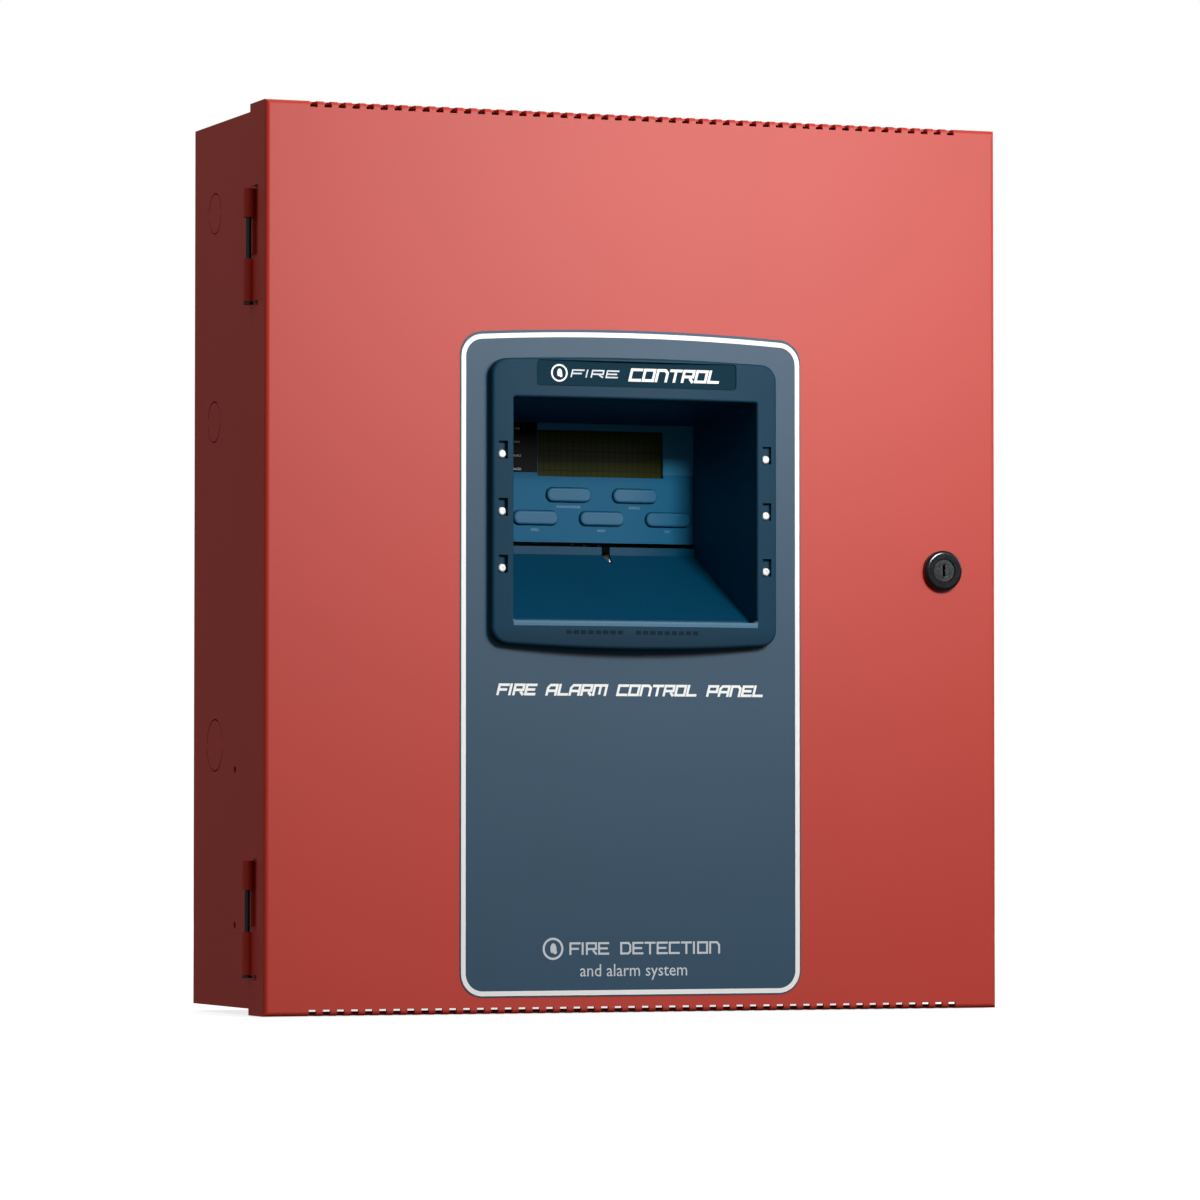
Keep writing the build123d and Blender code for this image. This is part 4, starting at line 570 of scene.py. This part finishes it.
# square letters as centre lines on a unit cell: (advance, [(points, trim at start, trim at end)]);
# a trim of -1 lengthens a free end by half a stroke, and +1 stops it at the stroke it meets
squareLetters = {
    "A": (1, [([(0, 0), (0, 0.7), (0.22, 1), (1, 1), (1, 0)], -1, -1),
              ([(0, 0.38), (1, 0.38)], 1, 1)]),
    "C": (1, [([(1, 1), (0, 1), (0, 0), (1, 0)], -1, -1)]),
    "D": (1, [([(0, 0), (0.8, 0), (1, 0.22), (1, 0.78), (0.8, 1), (0, 1)], None, None)]),
    "E": (1, [([(1, 1), (0, 1), (0, 0), (1, 0)], -1, -1), ([(0, 0.5), (0.86, 0.5)], 1, -1)]),
    "F": (1, [([(0, 0), (0, 1), (1, 1)], -1, -1), ([(0, 0.48), (0.82, 0.48)], 1, -1)]),
    "I": (0.12, [([(0, 0), (0, 1)], -1, -1)]),
    "L": (0.95, [([(0, 1), (0, 0), (0.95, 0)], -1, -1)]),
    "M": (1.35, [([(0, 0), (0, 1), (1.35, 1), (1.35, 0)], -1, -1),
                 ([(0.675, 1), (0.675, 0.15)], 1, -1)]),
    "N": (1, [([(0, 0), (0, 1), (0.75, 1), (1, 0.75), (1, 0)], -1, -1)]),
    "O": (1, [([(0, 0), (1, 0), (1, 1), (0, 1)], None, None)]),
    "P": (1, [([(0, 0), (0, 1), (1, 1), (1, 0.4), (0, 0.4)], -1, 1)]),
    "R": (1, [([(0, 0), (0, 1), (1, 1), (1, 0.45), (0, 0.45)], -1, 1),
              ([(0.55, 0.45), (1, 0)], 1.7, -1)]),
    "T": (1, [([(0, 1), (1, 1)], -1, -1), ([(0.5, 1), (0.5, 0)], 1, -1)]),
    "U": (1, [([(0, 1), (0, 0), (1, 0), (1, 1)], -1, -1)]),
    " ": (0.75, []),
}


def band(points, half, trims):
    # both sides of a centre line, moved out by the mitre vector (n1 + n2) / (1 + n1 . n2)
    line = np.array(points, float)
    closed = trims[0] is None
    step = (np.roll(line, -1, 0) if closed else line[1:]) - (line if closed else line[:-1])
    step = step / np.linalg.norm(step, axis=1)[:, None]
    if not closed:
        line[0] += step[0] * half * trims[0]
        line[-1] -= step[-1] * half * trims[1]
    normal = np.column_stack([-step[:, 1], step[:, 0]])
    before = np.roll(normal, 1, 0) if closed else np.vstack([normal[:1], normal])
    after = normal if closed else np.vstack([normal, normal[-1:]])
    mitre = (before + after) / (1 + (before * after).sum(1))[:, None]
    return line + mitre * half, line - mitre * half, closed


letterGap = 0.34         # space between letters, as a share of a cell


def squareWords(name, text, x, z, width, height, y, finish, slotName, slant=0.25, stroke=0.0011,
                thick=0.00007):
    # letters advance along x; the whole line is centred on x, z and leans by slant * height
    advances = [squareLetters[letter][0] + letterGap for letter in text]
    cell = (width - stroke) / (sum(advances) - letterGap)
    tall = height - stroke
    verts, faces, start, pen = [], [], 0, 0.0
    for letter, advance in zip(text, advances):
        for points, *trims in squareLetters[letter][1]:
            placed = (np.array(points) + [pen, 0]) * [cell, tall]
            left, right, closed = band(placed, stroke / 2, trims)
            count = len(left)
            loops = [(left, y), (left, y - thick), (right, y - thick), (right, y)]
            block = np.vstack([np.column_stack([side[:, 0], np.full(count, yy), side[:, 1]])
                               for side, yy in loops])
            i = np.arange(count if closed else count - 1)
            j = (i + 1) % count
            quads = [np.column_stack([a * count + i, a * count + j, b * count + j, b * count + i])
                     for a, b in ((0, 1), (1, 2), (2, 3), (3, 0))]
            if not closed:
                ends = np.arange(4) * count
                quads.append(np.vstack([ends, ends[::-1] + count - 1]))
            faces += (np.vstack(quads) + start).tolist()
            verts.append(block)
            start += len(block)
        pen += advance
    co = np.vstack(verts)
    co[:, 0] += x - width / 2 + stroke / 2 + (co[:, 2] - tall / 2) * slant
    co[:, 2] += z - tall / 2
    return makePiece(name, co, faces, finish, "door")


emblemLook = {"inner": 0.8, "thick": 0.00006, "flame": 0.36, "wave": 0.22, "narrow": 0.8,
              "tall": 0.95, "drop": 0.32, "steps": 48}


def emblem(name, x, y, z, radius, finish):
    # ring plus a small flame, whose edge is a drop: r = a (1 - sin(t - 0.3)) (1 + wave sin 3t)
    look = emblemLook
    count = look["steps"]
    t = np.linspace(0, 2 * np.pi, count + 1)[:-1]
    circle = np.column_stack([np.cos(t), np.sin(t)]) * radius
    middle = np.array([x, z])
    ringStrip(name + "_ring", circle + middle, circle * look["inner"] + middle, y, look["thick"],
              finish, "door")
    reach = look["flame"] * radius * (1 - np.sin(t - 0.3)) * (1 + look["wave"] * np.sin(3 * t))
    edge = np.column_stack([x + reach * np.cos(t) * look["narrow"], np.full(count, y),
                            z - look["drop"] * radius - reach * np.sin(t) * look["tall"]])
    i = np.arange(count)
    j = (i + 1) % count
    sides = np.column_stack([i, j, j + count, i + count]).tolist()
    caps = [i[::-1].tolist(), (i + count).tolist()]
    verts = np.vstack([edge, edge - [0, look["thick"], 0]])
    makePiece(name + "_flame", verts, sides + caps, finish, "door")


titleLine = {"x": -0.0043, "z": -0.0697, "width": 0.1555, "height": 0.0064, "stroke": 0.0014}
squareWords("title_words", "FIRE ALARM CONTROL PANEL", y=labelY, finish=whiteInk,
            slotName="label_blue", **titleLine)

plateLine = {"z": 0.1017, "y": plateY, "slotName": "plate_grey"}
emblem("plate_emblem", -0.0492, plateY, plateLine["z"], 0.0048, whiteInk)
squareWords("plate_words_left", "FIRE", x=-0.0285, width=0.0275, height=0.0043, stroke=0.0008,
            finish=paleInk, **plateLine)
squareWords("plate_words_right", "CONTROL", x=0.0182, width=0.0530, height=0.0072, stroke=0.0015,
            finish=whiteInk, **plateLine)

baseLine = {"z": -0.2098, "lowerZ": -0.2227}
emblem("base_emblem", -0.0500, labelY, baseLine["z"], 0.0060, paleInk)
squareWords("base_words_upper", "FIRE DETECTION", x=0.0035, z=baseLine["z"], width=0.0880,
            height=0.0068, y=labelY, finish=paleInk, slotName="label_blue", slant=0.0)
words("base_words_lower", [("and alarm system", -0.0031, baseLine["lowerZ"], 0.0088, 0.0624)],
      labelY, paleInk, "door")

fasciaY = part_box("display_fascia")[0].y + inkLift
faintInk = moulded("faintInk", tone(92, 142, 172), rough=0.5, grain=2600, depth=0.05, shift=0.03)
keyWords = {"key_acknowledge": "ACKNOWLEDGE", "key_silence": "SILENCE", "key_drill": "DRILL",
            "key_reset": "RESET", "key_test": "TEST"}
legendLook = {"below": 0.0016, "height": 0.0013, "lampX": -0.0425, "lampTop": 0.0770,
              "lampPitch": 0.0075, "lampHeight": 0.0012}
keyLines = []
for keyName, text in keyWords.items():
    keyLow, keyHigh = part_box(keyName)
    keyLines.append((text, (keyLow.x + keyHigh.x) / 2, keyLow.z - legendLook["below"],
                     legendLook["height"], None))
words("key_legends", keyLines, fasciaY, faintInk, "cabinet")
lampLines = [(text, legendLook["lampX"], legendLook["lampTop"] - legendLook["lampPitch"] * row,
              legendLook["lampHeight"], None)
             for row, text in enumerate(["POWER", "ALARM", "TROUBLE", "SILENCED"])]
words("lamp_legends", lampLines, fasciaY, paleInk, "cabinet")


def boxes(name, centres, halves, finish, body, bevel=None):
    # many small boxes in one mesh: eight corner signs times each half size, added to each centre
    centres = np.atleast_2d(centres)
    halves = np.broadcast_to(halves, centres.shape)
    signs = np.array([[a, b, c] for a in (-1, 1) for b in (-1, 1) for c in (-1, 1)])
    verts = (centres[:, None] + signs[None] * halves[:, None]).reshape(-1, 3)
    quads = np.array([[0, 1, 3, 2], [4, 6, 7, 5], [0, 4, 5, 1],
                      [2, 3, 7, 6], [0, 2, 6, 4], [1, 5, 7, 3]])
    faces = (quads[None] + 8 * np.arange(len(centres))[:, None, None]).reshape(-1, 4).tolist()
    return makePiece(name, verts, faces, finish, body, bevel)


def surfaceTree(names):
    verts, faces, start = [], [], 0
    for name in names:
        node = nodes[name]
        verts += [node.matrix_world @ v.co for v in node.data.vertices]
        faces += [[v + start for v in polygon.vertices] for polygon in node.data.polygons]
        start += len(node.data.vertices)
    return BVHTree.FromPolygons(verts, faces)


def depthAt(tree, x, z):
    hit = tree.ray_cast(Vector((x, -0.3, z)), Vector((0, 1, 0)))[0]
    return hit.y if hit else 1.0


# small parts on the main board, set out on a grid wherever the board's face is bare
smallParts = {
    "pitchX": 0.0085, "pitchZ": 0.0068, "margin": 0.006, "reach": 0.0034, "keep": 0.62,
    "turned": 0.35, "height": 0.0007, "long": 0.0016, "wide": 0.0008, "bodyShare": 0.68,
    "endShare": 0.18, "endAt": 0.86, "seed": 11,
}
boardTree = surfaceTree([
    "main_board", "terminal_blocks", "relays", "capacitors", "heat_sink", "ic_chips", "phone_jacks",
    "piezo_sounder", "fuse_clips", "fuses", "pin_headers", "mounting_screws", "display_standoffs",
    "wire_connectors"])
boardLow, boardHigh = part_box("main_board")
boardY = boardLow.y
dice = np.random.default_rng(smallParts["seed"])


def bareAt(x, z):
    # true where the board's own face is met at nine points round x, z
    reach = smallParts["reach"]
    return all(abs(depthAt(boardTree, x + a * reach, z + b * reach) - boardY) < 1e-5
               for a in (-1, 0, 1) for b in (-1, 0, 1))


sites = []
edge = smallParts["margin"]
for x in np.arange(boardLow.x + edge, boardHigh.x - edge + 0.001, smallParts["pitchX"]):
    for z in np.arange(boardLow.z + edge, boardHigh.z - edge + 0.001, smallParts["pitchZ"]):
        if dice.random() < smallParts["keep"] and bareAt(x, z):
            sites.append((x, z))
sites = np.array(sites)
turned = (dice.random(len(sites)) < smallParts["turned"])[:, None]
ceramic = dice.integers(0, 3, len(sites)) == 0
along = np.where(turned, [[0, 0, 1]], [[1, 0, 0]])
across = np.where(turned, [[1, 0, 0]], [[0, 0, 1]])
height = smallParts["height"]
level = np.full(len(sites), boardY - height + inkLift)
centres = np.column_stack([sites[:, 0], level, sites[:, 1]])
flat = across * smallParts["wide"] + np.array([0, height, 0])
bodyHalf = along * smallParts["long"] * smallParts["bodyShare"] + flat
endHalf = along * smallParts["long"] * smallParts["endShare"] + flat
shift = along * smallParts["long"] * smallParts["endAt"]
tin = metal("solderTin", tone(200, 200, 198), rough=0.32)
ceramicTan = moulded("ceramicTan", tone(158, 122, 82), rough=0.5, grain=900)
resistorBlack = moulded("resistorBlack", tone(24, 24, 26), rough=0.4, grain=900)
boxes("board_resistors", centres[~ceramic], bodyHalf[~ceramic], resistorBlack, "cabinet")
boxes("board_ceramics", centres[ceramic], bodyHalf[ceramic], ceramicTan, "cabinet")
boxes("board_part_ends", np.vstack([centres - shift, centres + shift]),
      np.vstack([endHalf, endHalf]), tin, "cabinet")

# legs along two sides of every chip; a chip is corner x, corner z, width, height in millimetres
chips = [(92, 70, 24, 24), (92, 104, 18, 9), (92, 120, 18, 9), (-60, 130, 28, 14),
         (-10, 140, 20, 20), (30, 136, 18, 9), (60, 140, 14, 9), (-60, 160, 18, 9),
         (-100, -22, 18, 9), (-40, -24, 18, 9), (20, -24, 20, 12)]
legLook = {"pitch": 1.27, "start": 1.5, "out": 0.75, "lift": 0.35,
           "half": [0.0002, 0.0003, 0.00085]}
legs = []
for chipX, chipZ, wide, tall in chips:
    at = np.arange(chipX + legLook["start"], chipX + wide - 1, legLook["pitch"])
    lift = np.full(len(at), boardY * 1000 - legLook["lift"])
    for edgeZ in (chipZ - legLook["out"], chipZ + tall + legLook["out"]):
        legs.append(np.column_stack([at, lift, np.full(len(at), edgeZ)]))
boxes("chip_legs", np.vstack(legs) / 1000, legLook["half"], tin, "cabinet")

boardInk = boardY + inkLift
words("board_print", [
    ("RELAY 1", -0.1305, 0.1755, 0.0022, None), ("RELAY 4", 0.1000, 0.1640, 0.0022, None),
    ("LINE 1", 0.0998, 0.1928, 0.0022, None), ("LINE 2", 0.1200, 0.1928, 0.0022, None),
    ("CIRCUIT A", -0.0980, 0.1905, 0.0026, None), ("CIRCUIT B", -0.0500, 0.1905, 0.0026, None),
    ("CIRCUIT C", 0.0230, 0.1905, 0.0026, None), ("CIRCUIT D", 0.0700, 0.1905, 0.0026, None),
    ("MAIN BOARD", 0.0150, 0.1290, 0.0032, None), ("BATTERY", 0.0700, -0.0375, 0.0022, None),
    ("SUPPLY", -0.1160, -0.0385, 0.0022, None), ("FUSE 1", -0.1400, 0.0120, 0.0022, None),
    ("FUSE 2", -0.1400, -0.0215, 0.0022, None)], boardInk, whiteInk, "cabinet")

# a printed panel on each battery case
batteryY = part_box("battery_cases")[0].y + inkLift
batteryLook = {"middles": (-0.0825, 0.0745), "z": -0.2000, "half": [0.046, 0.00008, 0.021],
               "out": 0.00006, "printOut": 0.00013}
paperWhite = moulded("batteryLabel", tone(206, 206, 200), rough=0.5, grain=1800, depth=0.08,
                     shift=0.04)
labelPlaces = [(x, batteryY - batteryLook["out"], batteryLook["z"])
               for x in batteryLook["middles"]]
boxes("battery_labels", labelPlaces, batteryLook["half"], paperWhite, "cabinet")
darkInk = moulded("darkInk", tone(24, 26, 30), rough=0.5, grain=2600, depth=0.05)
batteryLines = [row for x in batteryLook["middles"] for row in (
    ("SEALED LEAD BATTERY", x, -0.1880, 0.0042, None), ("12 V", x, -0.2000, 0.0090, None),
    ("KEEP UPRIGHT", x, -0.2130, 0.0036, None))]
words("battery_words", batteryLines, batteryY - batteryLook["printOut"], darkInk, "cabinet")
print("board parts:", len(sites), "small parts,", len(chips), "chips with legs")

# raised strip of short marks on the bezel's lower bar, set on the curved face
bezelTree = surfaceTree(["display_bezel"])
markLook = {"z": -0.0385, "pitch": 0.0042, "runs": ((-0.044, -0.012), (-0.004, 0.032)),
            "half": [0.0014, 0.00025, 0.0010]}
markX = np.concatenate([np.arange(*run, markLook["pitch"]) for run in markLook["runs"]])
markY = np.array([depthAt(bezelTree, x, markLook["z"]) for x in markX])
markPlaces = np.column_stack([markX, markY, np.full(len(markX), markLook["z"])])
boxes("sill_marks", markPlaces, markLook["half"], bezelDark, "door", 0.0001)
print("printed marks done")

# floor, light and camera
floorLook = {"half": 7.0, "drop": 0.0005, "near": 0.8, "far": 3.0, "nearGlow": 0.80,
             "farGlow": 0.96, "pale": (0.34, 0.34, 0.34, 1)}


def addFloor():
    # a pale floor that glows a little, so that its far edge fades into the background
    finish = Finish("paleFloor", Roughness=0.95, Emission_Strength=1.0, Specular_IOR_Level=0.1)
    x, y, z = finish.axes()
    reach = (x * x + y * y).math("SQRT")
    fade = ((reach - floorLook["near"]) / (floorLook["far"] - floorLook["near"])).clamp(0, 1)
    near, far = floorLook["nearGlow"], floorLook["farGlow"]
    finish.set("Emission Color", finish.mix(fade, (near, near, near, 1), (far, far, far, 1)))
    pale = floorLook["pale"]
    finish.set("Base Color", finish.mix(finish.noise(40, 2), shade(pale, 0.96), pale))
    half, z = floorLook["half"], cadLow.z - floorLook["drop"]
    mesh = bpy.data.meshes.new("floor")
    corners = [(-half, -half, z), (half, -half, z), (half, half, z), (-half, half, z)]
    mesh.from_pydata(corners, [], [(0, 1, 2, 3)])
    mesh.materials.append(finish.material)
    floor = bpy.data.objects.new("floor", mesh)
    bpy.context.scene.collection.objects.link(floor)
    floor.visible_diffuse = False
    floor.visible_glossy = False


worldLook = {"fromBelow": 0.05, "fromAbove": 0.36, "seen": 1.0}


def addWorld():
    # white behind the object; as light, a weak white that is stronger from above than from below
    world = bpy.data.worlds.new("studio")
    world.use_nodes = True
    tree = world.node_tree
    light = next(n for n in tree.nodes if n.type == "BACKGROUND")
    light.inputs["Color"].default_value = (1, 1, 1, 1)
    where = tree.nodes.new("ShaderNodeTexCoord")
    height = tree.nodes.new("ShaderNodeSeparateXYZ")
    ease = tree.nodes.new("ShaderNodeMapRange")
    for socketName, value in (("From Min", -0.5), ("From Max", 0.5),
                              ("To Min", worldLook["fromBelow"]),
                              ("To Max", worldLook["fromAbove"])):
        ease.inputs[socketName].default_value = value
    tree.links.new(where.outputs["Generated"], height.inputs[0])
    tree.links.new(height.outputs["Z"], ease.inputs["Value"])
    tree.links.new(ease.outputs[0], light.inputs["Strength"])
    seen = tree.nodes.new("ShaderNodeBackground")
    seen.inputs["Color"].default_value = (1, 1, 1, 1)
    seen.inputs["Strength"].default_value = worldLook["seen"]
    path = tree.nodes.new("ShaderNodeLightPath")
    mixer = tree.nodes.new("ShaderNodeMixShader")
    out = next(n for n in tree.nodes if n.type == "OUTPUT_WORLD")
    tree.links.new(path.outputs["Is Camera Ray"], mixer.inputs[0])
    tree.links.new(light.outputs[0], mixer.inputs[1])
    tree.links.new(seen.outputs[0], mixer.inputs[2])
    tree.links.new(mixer.outputs[0], out.inputs["Surface"])
    bpy.context.scene.world = world


lamps = {
    "key": {"at": (0.162, -0.953, 0.394), "aim": (0.0, -0.135, 0.0), "size": (0.13, 0.13),
            "watts": 7.76, "shine": False},
    "sheen": {"at": (0.323, -0.962, 0.365), "aim": (0.0, -0.135, 0.0), "size": (0.3, 0.3),
              "watts": 16.7, "colour": False},
    "rear": {"at": (0.6, 2.3, 1.3), "aim": (0.0, 0.0, 0.0), "size": (1.6, 1.2), "watts": 46,
             "shine": False},
    "right": {"at": (2.3, 0.1, 0.9), "aim": (0.1, 0.0, 0.0), "size": (1.2, 1.2), "watts": 26},
    "above": {"at": (-0.2, 0.4, 2.0), "aim": (0.0, 0.0, 0.2), "size": (1.4, 1.0), "watts": 16},
}


def addLamp(name, look):
    data = bpy.data.lights.new(name, "AREA")
    data.shape, data.size, data.size_y = "RECTANGLE", *look["size"]
    data.energy = look["watts"]
    lamp = bpy.data.objects.new(name, data)
    bpy.context.scene.collection.objects.link(lamp)
    lamp.location = look["at"]
    lamp.visible_camera = False
    lamp.visible_glossy = look.get("shine", True)
    lamp.visible_diffuse = look.get("colour", True)
    run = np.array(look["aim"]) - np.array(look["at"])
    flat = math.hypot(run[0], run[1])
    lamp.rotation_euler = (math.pi / 2 + math.atan2(run[2], flat), 0, math.atan2(-run[0], run[1]))


addFloor()
addWorld()
for lampName, lampLook in lamps.items():
    addLamp(lampName, lampLook)

cameraLook = {"at": (-1.19087, -3.16721, -0.13707), "turn": -21.07, "rise": 2.05,
              "lens": 179.52, "sensor": 36, "far": 60}
cameraData = bpy.data.cameras.new("camera")
cameraData.lens, cameraData.sensor_width = cameraLook["lens"], cameraLook["sensor"]
cameraData.clip_end = cameraLook["far"]
camera = bpy.data.objects.new("camera", cameraData)
bpy.context.scene.collection.objects.link(camera)
camera.location = cameraLook["at"]
camera.rotation_euler = (math.radians(90 + cameraLook["rise"]), 0,
                         math.radians(cameraLook["turn"]))
bpy.context.scene.camera = camera
bpy.context.scene.view_settings.view_transform = "Standard"
print("stage, lamps and camera done")
